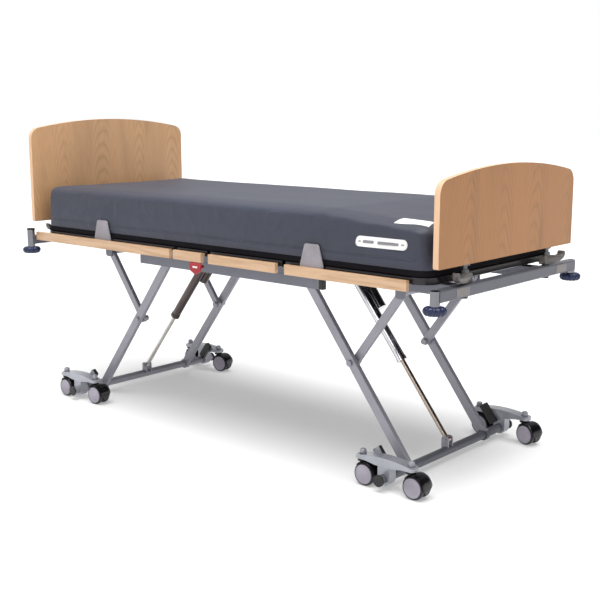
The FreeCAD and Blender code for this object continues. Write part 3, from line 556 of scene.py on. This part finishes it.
def finish_frame():
    finish_node("main_frame", "frame_paint")
    finish_node("slide_rails", "frame_paint")
    paint_region("main_frame", "deck_paint", lambda p: p.z > DECK_PAINT_Z and abs(p.y) < DECK_HALF_WIDTH)
    white_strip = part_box("slide_rails")[1].x - RAIL_STRIP_LENGTH
    paint_region("slide_rails", "label", lambda p: p.x > white_strip)
    for name in ("head_beam", "foot_beam"):
        finish_node(name, "beam_paint_and_tube_shade")
        post_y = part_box(name)[1].y - POST_INSET
        paint_region(name, "post_steel", lambda p: abs(p.y) > post_y)
        paint_region(name, "socket_steel", lambda p: SOCKET_IN_Y < abs(p.y) < SOCKET_OUT_Y and p.z > SOCKET_Z)
    finish_node("frame_end_caps", "black_plastic")
    finish_node("twin_drive", "drive")
    finish_node("release_handle", "red", 0.0012)


def finish_lying_surface():
    for section in ("back", "thigh", "leg"):
        finish_node(section + "_deck", "deck_paint")
    for section in SECTIONS:
        finish_node(section + "_trims", "maple", 0.0015)
    for section in ("back", "leg"):
        finish_node(section + "_retainers", "retainer", 0.0012)
    for end, _ in ENDS:
        finish_node(end + "board", end + "_oak", 0.0015)
        finish_node(end + "board_posts", "socket_steel")


def finish_lifts():
    for end, _ in ENDS:
        legs = end + "_lift_legs"
        finish_node(legs, "leg_paint")
        cap_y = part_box(legs)[1].y - LEG_CAP_DEPTH
        # painted shade: the foot cross tube has the same paint as the head one and gets the darker beam grey
        # only to stand in for the shade it lies in
        if end == "foot":
            paint_region(legs, "beam_paint_and_tube_shade", lambda p: p.z < CROSS_TUBE_TOP and abs(p.y) < cap_y)
        paint_region(legs, "black_plastic", lambda p: abs(p.y) > cap_y)
        paint_region(legs, "black_plastic", lambda p: abs(p.y) > LEG_ROLLER_Y and p.z > LEG_ROLLER_Z)
        finish_node(end + "_lift_arms", "leg_paint")
        finish_node(end + "_lift_cylinder", end + "_cylinder")
        finish_node(end + "_lift_rod", end + "_rod")
        for side, _ in SIDES:
            arm = f"{end}_caster_arm_{side}"
            finish_node(arm, "cast_alloy", 0.0025)
            paint_region(arm, "black_plastic", lambda p: abs(p.y) < ARM_INNER_Y - ARM_FACE_MARGIN)


# ---- mattress ----
MATTRESS_LOW, MATTRESS_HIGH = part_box("mattress_back")
MATTRESS_HIGH = Vector((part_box("mattress_leg")[1].x, MATTRESS_HIGH.y, MATTRESS_HIGH.z))


def heel_drop(x):
    """How far the top comes down towards the foot end."""
    return HEEL_DROP * max(0.0, x - HEEL_SLOPE_START) / (MATTRESS_HIGH.x - HEEL_SLOPE_START)


def mattress_block(inset):
    """Box of the whole mattress, with its upright corners and its top rim rounded."""
    low = MATTRESS_LOW + Vector((inset, inset, 0.0))
    high = MATTRESS_HIGH - Vector((inset, inset, inset))
    size = high - low
    bm = bmesh.new()
    bmesh.ops.create_cube(bm, size=1)
    bmesh.ops.scale(bm, vec=size, verts=bm.verts)
    bmesh.ops.translate(bm, vec=(low + high) / 2, verts=bm.verts)

    def along(axis):
        return [e for e in bm.edges if abs((e.verts[0].co - e.verts[1].co).normalized()[axis]) > 0.99]

    bmesh.ops.bevel(bm, geom=along(2), offset=CORNER_RADIUS, segments=6, profile=0.5, affect="EDGES")
    top = [e for e in bm.edges if all(v.co.z > high.z - 1e-5 for v in e.verts) and len(e.link_faces) == 2]
    rim = [e for e in top if any(abs(f.normal.z) < 0.5 for f in e.link_faces)]
    bmesh.ops.bevel(bm, geom=rim, offset=RIM_RADIUS, segments=5, profile=0.5, affect="EDGES")
    mesh = bpy.data.meshes.new("mattress")
    bm.to_mesh(mesh)
    bm.free()
    return put_in_scene("mattress", mesh)


def remesh(obj, voxel):
    """Even, closed mesh for the cloth step."""
    modifier = obj.modifiers.new("even_mesh", "REMESH")
    modifier.mode = "VOXEL"
    modifier.voxel_size = voxel
    apply_modifiers(obj)


def cover_ripple(co, on_side):
    """Slack of the cover: broad swells, and short leaning creases on the sides."""
    swell = SWELL_DEPTH * noise.noise(Vector((co.x * 3.2, co.y * 5.0, co.z * 9.0)))
    if not on_side:
        return swell
    lean = co.x + co.y + 0.8 * co.z
    crease = noise.noise(Vector((lean * 11, co.y * 3, co.z * 16 - co.x * 4)))
    fold = max(0.0, 1 - abs(crease) * 6) ** 2
    pucker = noise.noise(Vector((co.x * 34, co.y * 34, co.z * 14)))
    seam_pull = SEAM_PULL * math.exp(-((co.z - SEAM_Z) / SEAM_PULL_WIDTH) ** 2)
    return swell + CREASE_DEPTH * crease + FOLD_DEPTH * fold + PUCKER_DEPTH * pucker + seam_pull


def squared_base(co):
    """Move a point near the lower edge out over the deck bars, where the remesh had rounded it off."""
    lift = (co.z - MATTRESS_LOW.z) / BASE_ROUNDING
    share = max(0.0, 1 - lift) ** 2
    reach = Vector((0, 0, 0))
    for axis in (0, 1):
        for limit, sign in ((MATTRESS_LOW[axis], -1), (MATTRESS_HIGH[axis], 1)):
            near = 1 - abs(limit - co[axis]) / BASE_REACH
            reach[axis] += sign * BASE_ROUNDING * share * min(1.0, max(0.0, 1.6 * near))
    reach.z = -BASE_SINK * share if reach.length > 1e-6 else 0.0
    return co + reach


def shape_mattress(obj):
    """Slope at the heels and square the lower edge."""
    base = MATTRESS_LOW.z
    height = MATTRESS_HIGH.z - base
    for v in obj.data.vertices:
        up = (v.co.z - base) / height
        v.co.z -= heel_drop(v.co.x) * max(0.0, up)
        v.co = squared_base(v.co)


def ripple_cover(obj):
    """Undulate the cover above the base band."""
    ripple_start = MATTRESS_LOW.z + RIPPLE_START_SHARE * (MATTRESS_HIGH.z - MATTRESS_LOW.z)
    shifts = []
    for v in obj.data.vertices:
        height = cover_ripple(v.co, abs(v.normal.z) < 0.6) if v.co.z > ripple_start else 0.0
        shifts.append(v.normal * height)
    for v, shift in zip(obj.data.vertices, shifts):
        v.co += shift


def mark_base_band(obj):
    """Cut an even edge round the mattress where the base fabric meets the cover."""
    bm = bmesh.new()
    bm.from_mesh(obj.data)
    geometry = bm.verts[:] + bm.edges[:] + bm.faces[:]
    bmesh.ops.bisect_plane(bm, geom=geometry, dist=1e-6, plane_co=(0, 0, BASE_BAND_TOP), plane_no=(0, 0, 1))
    bm.to_mesh(obj.data)
    bm.free()


def puff(obj, frames, cap):
    """Inflate the cover as a cloth with pressure inside; no point moves further than the cap."""
    rest = [v.co.copy() for v in obj.data.vertices]
    pinned = obj.vertex_groups.new(name="pinned")
    floor_z = MATTRESS_LOW.z + PINNED_HEIGHT
    pinned.add([i for i, co in enumerate(rest) if co.z < floor_z], 1.0, "REPLACE")
    cloth = obj.modifiers.new("cover_cloth", "CLOTH")
    settings = cloth.settings
    settings.quality = 4
    settings.mass = 0.3
    settings.tension_stiffness = 25
    settings.compression_stiffness = 25
    settings.bending_stiffness = 1.5
    settings.use_pressure = True
    settings.uniform_pressure_force = 3.0
    settings.effector_weights.gravity = 0
    settings.vertex_group_mass = "pinned"
    scene = bpy.context.scene
    for number in range(1, frames + 1):
        scene.frame_set(number)
    graph = bpy.context.evaluated_depsgraph_get()
    moved = [v.co.copy() for v in obj.evaluated_get(graph).data.vertices]
    obj.modifiers.clear()
    scene.frame_set(1)
    for v, start, end in zip(obj.data.vertices, rest, moved):
        step = end - start
        v.co = start + step * min(1.0, cap / max(step.length, 1e-9))
    obj.vertex_groups.clear()


def whole_mattress():
    """The mattress in one piece, before it is cut where the bed folds."""
    obj = mattress_block(BLOCK_INSET)
    remesh(obj, VOXEL)
    shape_mattress(obj)
    puff(obj, PUFF_FRAMES, PUFF_CAP)
    smooth = obj.modifiers.new("relax", "SMOOTH")
    smooth.iterations = 1
    smooth.factor = 0.4
    obj.modifiers.new("fine", "SUBSURF").levels = 1
    apply_modifiers(obj)
    ripple_cover(obj)
    mark_base_band(obj)
    return obj


def store_rest_place(obj):
    """Keep each point's place at rest for the fabric's coordinates."""
    attribute = obj.data.attributes.new("rest_place", "FLOAT_VECTOR", "POINT")
    for item, v in zip(attribute.data, obj.data.vertices):
        item.vector = v.co


def cut_between(source, name, x0, x1):
    """The stretch of a mesh between two X planes, keeping the shading normals of the whole."""
    bm = bmesh.new()
    bm.from_mesh(source.data)
    for x, side in ((x0, -1), (x1, 1)):
        if x is None:
            continue
        geometry = bm.verts[:] + bm.edges[:] + bm.faces[:]
        plane = {"plane_co": (x, 0, 0), "plane_no": (side, 0, 0)}
        bmesh.ops.bisect_plane(bm, geom=geometry, dist=1e-6, clear_outer=True, **plane)
    mesh = bpy.data.meshes.new(name)
    bm.to_mesh(mesh)
    bm.free()
    mesh.polygons.foreach_set("use_smooth", [True] * len(mesh.polygons))
    piece = put_in_scene(name, mesh)
    mesh.normals_split_custom_set_from_vertices(normals_of_whole(mesh, source))
    return piece


def normals_of_whole(mesh, source):
    """For each point of a cut mesh, the shading normal that the whole has there."""
    tree = surface_tree(source)
    normals = []
    for v in mesh.vertices:
        _, _, index, _ = tree.find_nearest(v.co)
        corners = [source.data.vertices[i] for i in source.data.polygons[index].vertices]
        weights = [1 / max((c.co - v.co).length, 1e-5) for c in corners]
        total = sum((c.normal * w for c, w in zip(corners, weights)), Vector())
        normals.append(total.normalized())
    return normals


# x0 and x1 are where a piece is cut (None: the mattress's own end); the fold runs from bend_start to
# bend_end; nodes are the CAD pieces it stands for
Stretch = namedtuple("Stretch", "name x0 x1 body_a body_b bend_start bend_end nodes")
MATTRESS_PIECES = (
    Stretch("mattress_cover_back", None, SEAT_SPLIT_X, "back_section", "frame",
            -0.347, -0.037, ("mattress_back", "mattress_seat")),
    Stretch("mattress_cover_seat", SEAT_SPLIT_X, THIGH_SPLIT_X, "frame", "thigh_section",
            -0.027, 0.140, ("mattress_thigh",)),
    Stretch("mattress_cover_leg", THIGH_SPLIT_X, None, "thigh_section", "leg_section",
            0.248, 0.548, ("mattress_leg",)),
)


def bend_between(obj, piece):
    """Bake a piece of the mattress into its place; its fold's start and end are worked out, but nothing bends
    it.
    """
    start, end = (piece.bend_start, 0, HINGE_Z), (piece.bend_end, 0, HINGE_Z)
    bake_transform(obj)
    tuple(start)
    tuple(end)


def side_point(tree, x, z, side):
    """Point of the mattress side at X and Z."""
    hit = tree.ray_cast(Vector((x, side * RAY_START_Y, z)), Vector((0, -side, 0)))
    return hit[0]


def tube_faces(rings, steps):
    """Faces of a closed tube whose points come ring by ring."""
    faces = [tuple(range(steps))[::-1], tuple(range((rings - 1) * steps, rings * steps))]
    for i in range(rings - 1):
        for k in range(steps):
            m = (k + 1) % steps
            a, b = i * steps, (i + 1) * steps
            faces.append((a + k, a + m, b + m, b + k))
    return faces


def seam_along(tree, name, x0, x1, side):
    """Round bead along the mattress side between two X."""
    steps = 8
    count = max(6, int((x1 - x0) / SEAM_PITCH))
    verts = []
    for i in range(count + 1):
        p = side_point(tree, x0 + (x1 - x0) * i / count, SEAM_Z, side)
        for k in range(steps):
            angle = 2 * math.pi * k / steps
            verts.append(p + Vector((0, SEAM_RADIUS * math.cos(angle), SEAM_RADIUS * math.sin(angle))))
    return mesh_object(name, verts, tube_faces(count + 1, steps))


def seam_pieces(tree):
    """Welded seam low on both sides of the cover, cut where the mattress pieces meet."""
    for piece in MATTRESS_PIECES:
        x0 = piece.x0 if piece.x0 is not None else MATTRESS_LOW.x + SEAM_END_GAP
        x1 = piece.x1 if piece.x1 is not None else MATTRESS_HIGH.x - SEAM_END_GAP
        for side_name, side in SIDES:
            name = piece.name.replace("cover", "seam") + "_" + side_name
            seam = seam_along(tree, name, x0, x1, side)
            store_rest_place(seam)
            seam.data.materials.append(FINISH["mattress"])
            bend_between(seam, piece)


def laid_patch(name, outline, rays, thickness, material):
    """Thin label that follows the mattress; rays gives the point that lies so far above it at (u, v)."""
    centre_u = sum(u for u, _ in outline) / len(outline)
    centre_v = sum(v for _, v in outline) / len(outline)
    rings = 10
    count = len(outline)
    verts = [rays(centre_u, centre_v, thickness)]
    for ring in range(1, rings + 1):
        share = ring / rings
        for u, v in outline:
            ring_u, ring_v = centre_u + (u - centre_u) * share, centre_v + (v - centre_v) * share
            verts.append(rays(ring_u, ring_v, thickness))
    for u, v in outline:
        verts.append(rays(u, v, LABEL_ROOT))
    faces = [(0, 1 + i, 1 + (i + 1) % count) for i in range(count)]
    for ring in range(rings):
        for i in range(count):
            j = (i + 1) % count
            a, b = 1 + ring * count, 1 + (ring + 1) * count
            faces.append((a + i, b + i, b + j, a + j))
    faces.append(tuple(range(1 + rings * count, 1 + (rings + 1) * count)))
    return dress(mesh_object(name, verts, faces), "leg_section", FINISH[material])


def side_label(tree):
    """Pill-shaped label on the near side, with plain bars in place of its print."""

    def on_side(x, z, lift):
        return side_point(tree, x, z, -1) + Vector((0, -lift, 0))

    def at(offset, outline):
        return [(SIDE_LABEL_X + offset + u, SIDE_LABEL_Z + v) for u, v in outline]

    pill = rounded_rectangle(SIDE_LABEL_HALF_U, SIDE_LABEL_HALF_V, SIDE_LABEL_CORNER)
    laid_patch("side_label", at(0, pill), on_side, LABEL_LIFT, "label")
    for number, (offset, half_u) in enumerate(SIDE_LABEL_BARS):
        half_v = WIDE_BAR_HALF_V if half_u > WIDE_BAR else DOT_HALF_V
        bar = rounded_rectangle(half_u, half_v, half_v * 0.9, 4)
        laid_patch(f"side_label_bar_{number + 1}", at(offset, bar), on_side, PRINT_LIFT, "print")


def top_label(tree):
    """Blank label on top, near the foot end."""

    def on_top(x, y, lift):
        hit = tree.ray_cast(Vector((x, y, RAY_START_Z)), Vector((0, 0, -1)))
        return hit[0] + Vector((0, 0, lift))

    steps = 8
    edge = []
    for i, (x, y) in enumerate(TOP_LABEL):
        next_x, next_y = TOP_LABEL[(i + 1) % len(TOP_LABEL)]
        edge += [(x + (next_x - x) * t / steps, y + (next_y - y) * t / steps) for t in range(steps)]
    laid_patch("top_label", edge, on_top, TOP_LABEL_LIFT, "label")


def make_mattress():
    """Cover pieces, seams and labels, all taken from one whole mattress."""
    whole = whole_mattress()
    tree = surface_tree(whole)
    for piece in MATTRESS_PIECES:
        part = cut_between(whole, piece.name, piece.x0, piece.x1)
        store_rest_place(part)
        for finish in ("mattress", "mattress_base"):
            part.data.materials.append(FINISH[finish])
        for face in part.data.polygons:
            face.material_index = int(face.center.z < BASE_BAND_TOP)
        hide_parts(*piece.nodes)
        bend_between(part, piece)
    seam_pieces(tree)
    side_label(tree)
    top_label(tree)
    bpy.data.objects.remove(whole)


# ---- end beams: rollers, levers and plates ----
def bumper_roller(end, side):
    """Lobed soft roller under a corner post."""
    node = f"{end}_bumper_roller_{side}"
    low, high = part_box(node)
    radius = (high.x - low.x) / 2
    middle = (low + high) / 2
    half = (high.z - low.z) / 2
    outline = (
        (0.30, -1.0), (0.62, -1.0), (0.80, -0.92), (0.93, -0.66), (1.0, -0.22),
        (1.0, 0.22), (0.93, 0.66), (0.80, 0.92), (0.62, 1.0), (0.30, 1.0),
    )
    profile = [(radius * r, half * h) for r, h in outline]
    roller = lathe("lobed_roller_" + end + "_" + side, profile, middle, steps=96, lobes=12, lobe_depth=0.12)
    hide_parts(node)
    return dress(roller, f"{end}_bumper_{side}", FINISH["navy"])


def clamp_lever(end, end_sign, side, side_sign):
    """Hooked lever: one outline with a rounded hub, a curved wing and an upturned tip."""
    node = f"{end}_clamp_lever_{side}"
    low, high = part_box(node)
    hub_x = (low.x + high.x) / 2
    hub_y = low.y + LEVER_HUB if side_sign > 0 else high.y - LEVER_HUB
    base = low.z
    outline = (
        (-0.028, 0.004), (-0.029, 0.026), (-0.020, 0.034), (0.010, 0.034), (0.040, 0.030),
        (0.064, 0.029), (0.071, 0.033), (0.074, 0.043), (0.080, 0.044), (0.081, 0.030),
        (0.074, 0.018), (0.056, 0.009), (0.020, 0.003), (-0.010, 0.001),
    )

    def place(u, v, w):
        outward = end_sign * LEVER_SPLAY * max(0.0, u)
        return Vector((hub_x + outward + w - LEVER_WIDTH / 2, hub_y + side_sign * u, base + v))

    lever = extrude_outline(f"hooked_lever_{end}_{side}", outline, place, LEVER_WIDTH)
    soften(lever, 0.0028, 4)
    apply_modifiers(lever)
    lever.data.polygons.foreach_set("use_smooth", [True] * len(lever.data.polygons))
    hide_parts(node)
    return dress(lever, f"{end}_clamp_{side}", FINISH["lever"])


def handle_mark():
    """Plain raised bar on the face of the release handle."""
    low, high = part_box("release_handle")
    middle_x = (low.x + high.x) / 2
    middle_z = high.z - HANDLE_MARK_DROP

    def place(u, v, w):
        return Vector((middle_x + u, low.y + HANDLE_MARK_SINK - w, middle_z + v))

    outline = rounded_rectangle(HANDLE_MARK_HALF_U, HANDLE_MARK_HALF_V, HANDLE_MARK_CORNER, 4)
    mark = extrude_outline("handle_mark", outline, place, PLATE_THICKNESS)
    dress(mark, "release_pull", FINISH["label"])


def beam_plates(end, sign):
    """Blank plates on the outer face of an end beam."""
    face_x = sign * BEAM_FACE_X
    outline = rounded_rectangle(PLATE_HALF_U, PLATE_HALF_V, PLATE_CORNER, 3)
    for number, y in enumerate(PLATE_YS):

        def place(u, v, w):
            return Vector((face_x + sign * w, y + u, PLATE_Z + v))

        plate = extrude_outline(f"blank_plate_{end}_{number + 1}", outline, place, PLATE_THICKNESS)
        dress(plate, "frame", FINISH["plate"])


# ---- casters ----
def wheel_joint(end, side, place):
    """Centre and axle direction of a wheel pair, from its joint in the frame."""
    body = f"{end}_{side}_{place}_wheels"
    joint = next(j for j in frame["joints"] if j["child"] == body)
    return Vector(joint["pos_m"]), Vector(joint["axis"])


def wheel_pieces(end, side, place):
    """Tyre and dished cover disc on each face of a twin wheel."""
    stem = f"{end}_{side}_{place}"
    body = stem + "_wheels"
    centre, axle = wheel_joint(end, side, place)
    inner, outer, radius = WHEEL_IN_Y, WHEEL_OUT_Y, WHEEL_R
    tyre = (
        (0.010, inner), (0.034, inner), (0.0375, inner + 0.0015), (0.0396, inner + 0.005),
        (radius, inner + 0.0095), (0.0396, outer - 0.005), (0.0372, outer - 0.0012),
        (0.0348, outer), (0.0335, outer - 0.0015), (0.010, outer - 0.0015),
    )
    disc = (
        (0.0330, outer - 0.0018), (0.0330, outer - 0.0004), (0.0322, outer), (0.0285, outer - 0.0004),
        (0.0275, outer - 0.0010), (0.0240, outer - 0.0010), (0.0120, outer - 0.0002), (0.0040, outer),
    )
    for face, direction in (("a", axle), ("b", -axle)):
        rubber = lathe(f"tyre_{stem}_{face}", tyre, centre, direction)
        dress(rubber, body, FINISH["tyre"])
        dress(lathe(f"disc_{stem}_{face}", disc, centre, direction), body, FINISH["disc"])
    bar = lathe(f"axle_{stem}", ((0.0049, -inner), (0.0049, inner)), centre, axle, 24)
    dress(bar, body, FINISH["bright_steel"])
    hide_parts(f"{end}_{side}_{place}_caster_wheels")


def hood_layer(outer, centre, axle, trail, turns, spans):
    """Grid of points over one face of the fender; the outer face falls off at its two rims."""
    up = Vector((0, 0, 1))
    layer = HOOD_OUT_R if outer else HOOD_IN_R
    rim_drop = HOOD_OUT_R - HOOD_IN_R if outer else 0.0
    verts = []
    for i in range(turns + 1):
        share = i / turns
        angle = HOOD_FROM + (HOOD_TO - HOOD_FROM) * share
        spoke = trail * math.cos(angle) + up * math.sin(angle)
        end_taper = min(1.0, share / HOOD_FIRST_TAPER, (1 - share) / HOOD_LAST_TAPER)
        fullness = math.sin(math.pi / 2 * end_taper)
        half = HOOD_HALF_WIDTH * (HOOD_END_WIDTH + (1 - HOOD_END_WIDTH) * fullness)
        for k in range(spans + 1):
            w = 2 * k / spans - 1
            verts.append(centre + spoke * (layer - rim_drop * abs(w) ** 5) + axle * half * w)
    return verts


def hood_faces(turns, spans):
    """Faces of the two layers and of the edges that close them."""
    row, sheet = spans + 1, (turns + 1) * (spans + 1)
    faces = []
    for i in range(turns):
        for k in range(spans):
            a = i * row + k
            faces.append((a, a + 1, a + row + 1, a + row))
            faces.append((sheet + a, sheet + a + row, sheet + a + row + 1, sheet + a + 1))
        for a in (i * row, i * row + spans):
            faces.append((a, a + row, sheet + a + row, sheet + a))
    for k in range(spans):
        for a in (k, turns * row + k):
            faces.append((a, a + 1, sheet + a + 1, sheet + a))
    return faces


def hood_shell(name, centre, axle, trail):
    """Fender over both wheels: rounded shoulders, narrower towards its two ends."""
    turns, spans = 40, 14
    verts = hood_layer(True, centre, axle, trail, turns, spans)
    verts += hood_layer(False, centre, axle, trail, turns, spans)
    return mesh_object(name, verts, hood_faces(turns, spans))


def caster_web(name, centre, axle, trail):
    """Web between the two wheels, round over the top and cut off straight below the axle."""
    up = Vector((0, 0, 1))
    steps = 32
    points = []
    for i in range(steps + 1):
        angle = math.radians(WEB_FROM_DEG + WEB_SWEEP_DEG * i / steps)
        points.append((HOOD_IN_R * math.cos(angle), HOOD_IN_R * math.sin(angle)))
    half = WHEEL_IN_Y - WEB_GAP

    def place(u, v, w):
        return centre + trail * u + up * v + axle * (w - half)

    web = extrude_outline(name, points, place, 2 * half)
    soften(web, 0.0012, 2)
    return web


def caster_body(end, side, place):
    """Hood, web, neck and domed stem nut of a caster."""
    stem = f"{end}_{side}_{place}"
    body = stem + "_caster"
    centre, axle = wheel_joint(end, side, place)
    trail = axle.cross(Vector((0, 0, 1))).normalized()
    joint = next(j for j in frame["joints"] if j["child"] == body)
    stem_foot = Vector((joint["pos_m"][0], joint["pos_m"][1], 0))
    black = FINISH["gloss_black"]
    hood = hood_shell("hood_" + stem, centre, axle, trail)
    dress(hood, body, black)
    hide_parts(stem + "_caster_housing")
    dress(caster_web("web_" + stem, centre, axle, trail), body, black)
    neck = ((0.0190, 0.0790), (0.0178, 0.0826), (0.0152, 0.0850), (0.0145, NECK_TOP))
    dress(lathe("neck_" + stem, neck, stem_foot, steps=32), body, black)
    nut = ((0.0060, 0.0875), (0.0060, CAP_BOTTOM), (0.0117, CAP_BOTTOM), (0.0117, 0.1110))
    nut += ((0.0106, 0.1160), (0.0072, 0.1194), (0.0012, 0.1207))
    dress(lathe("stem_nut_" + stem, nut, stem_foot, steps=32), body, FINISH["leg_paint"])


def make_casters():
    for end, _ in ENDS:
        for side, _ in SIDES:
            for place in ("inner", "outer"):
                wheel_pieces(end, side, place)
                caster_body(end, side, place)


# ---- studio ----
def area_light(name, place, target, size, power):
    """White rectangular softbox that points at its target."""
    data = bpy.data.lights.new(name, "AREA")
    data.shape = "RECTANGLE"
    data.size, data.size_y = size
    data.energy = power
    light = put_in_scene(name, data)
    light.location = place
    light.rotation_euler = (Vector(target) - Vector(place)).to_track_quat("-Z", "Y").to_euler()


def gradient_world():
    """White at the horizon, darker overhead, and darker still above the horizon past the foot end."""
    world = bpy.data.worlds.new("studio_world")
    world.use_nodes = True
    tree = world.node_tree
    place = tree.nodes.new("ShaderNodeTexCoord")
    split = tree.nodes.new("ShaderNodeSeparateXYZ")
    tree.links.new(place.outputs["Generated"], split.inputs["Vector"])

    def graded(axis, span, start_level, end_level):
        ramp = tree.nodes.new("ShaderNodeMapRange")
        ramp.interpolation_type = "SMOOTHSTEP"
        values = {"From Min": span[0], "From Max": span[1], "To Min": start_level, "To Max": end_level}
        for socket, value in values.items():
            ramp.inputs[socket].default_value = value
        tree.links.new(split.outputs[axis], ramp.inputs["Value"])
        return ramp.outputs["Result"]

    def combined(operation, first, second):
        node = tree.nodes.new("ShaderNodeMath")
        node.operation = operation
        for value, socket in zip((first, second), node.inputs):
            if isinstance(value, bpy.types.NodeSocket):
                tree.links.new(value, socket)
            else:
                socket.default_value = value
        return node.outputs[0]

    past_foot_end = graded("X", WORLD_SIDE_X, 0.0, WORLD_SIDE_SHADE)
    above_horizon = graded("Z", WORLD_SIDE_Z, 0.0, 1.0)
    unshaded = combined("SUBTRACT", 1.0, combined("MULTIPLY", past_foot_end, above_horizon))
    level = combined("MULTIPLY", unshaded, graded("Z", WORLD_DIM_Z, 1.0, WORLD_OVERHEAD))
    tree.links.new(level, tree.nodes["Background"].inputs["Color"])
    return world


def studio_floor():
    """Wide sheet of pale paper, lit a little from within so that its far end stays white."""
    half = FLOOR_HALF
    verts = [(-half, -half, 0), (half, -half, 0), (half, half, 0), (-half, half, 0)]
    floor = mesh_object("studio_floor", verts, [(0, 1, 2, 3)], smooth=False)
    paper = Surface("floor_paper", FLOOR_GREY, 0.95)
    paper.set("Specular IOR Level", 0.0)
    paper.set("Emission Color", (1, 1, 1, 1))
    paper.set("Emission Strength", FLOOR_GLOW)
    paper.bump(paper.noise(300, 2), 0.0001, 0.2)
    floor.data.materials.append(paper.material)


def studio():
    """White room: floor, world, one broad sun from above and three softboxes."""
    scene = bpy.context.scene
    scene.view_settings.view_transform = "Standard"
    scene.world = gradient_world()
    studio_floor()
    sun = bpy.data.lights.new("overhead_scrim", "SUN")
    sun.energy = SUN_POWER
    sun.angle = SUN_SPREAD
    scrim = put_in_scene("overhead_scrim", sun)
    scrim.rotation_euler = Vector(SUN_FROM).to_track_quat("Z", "Y").to_euler()
    for softbox in SOFTBOXES:
        area_light(*softbox)


def camera():
    """View from beyond the foot end's near corner, a little above the mattress."""
    data = bpy.data.cameras.new("camera")
    data.sensor_width = SENSOR_WIDTH
    data.lens = CAMERA_LENS
    obj = put_in_scene("camera", data)
    obj.location = CAMERA_PLACE
    obj.rotation_euler = (math.pi / 2 - CAMERA_TILT, 0, CAMERA_AZIMUTH)
    bpy.context.scene.camera = obj


camera()
studio()
finish_frame()
finish_lying_surface()
finish_lifts()
make_mattress()
handle_mark()
for end_name, end_sign in ENDS:
    beam_plates(end_name, end_sign)
    for side_name, side_sign in SIDES:
        bumper_roller(end_name, side_name)
        clamp_lever(end_name, end_sign, side_name, side_sign)
make_casters()
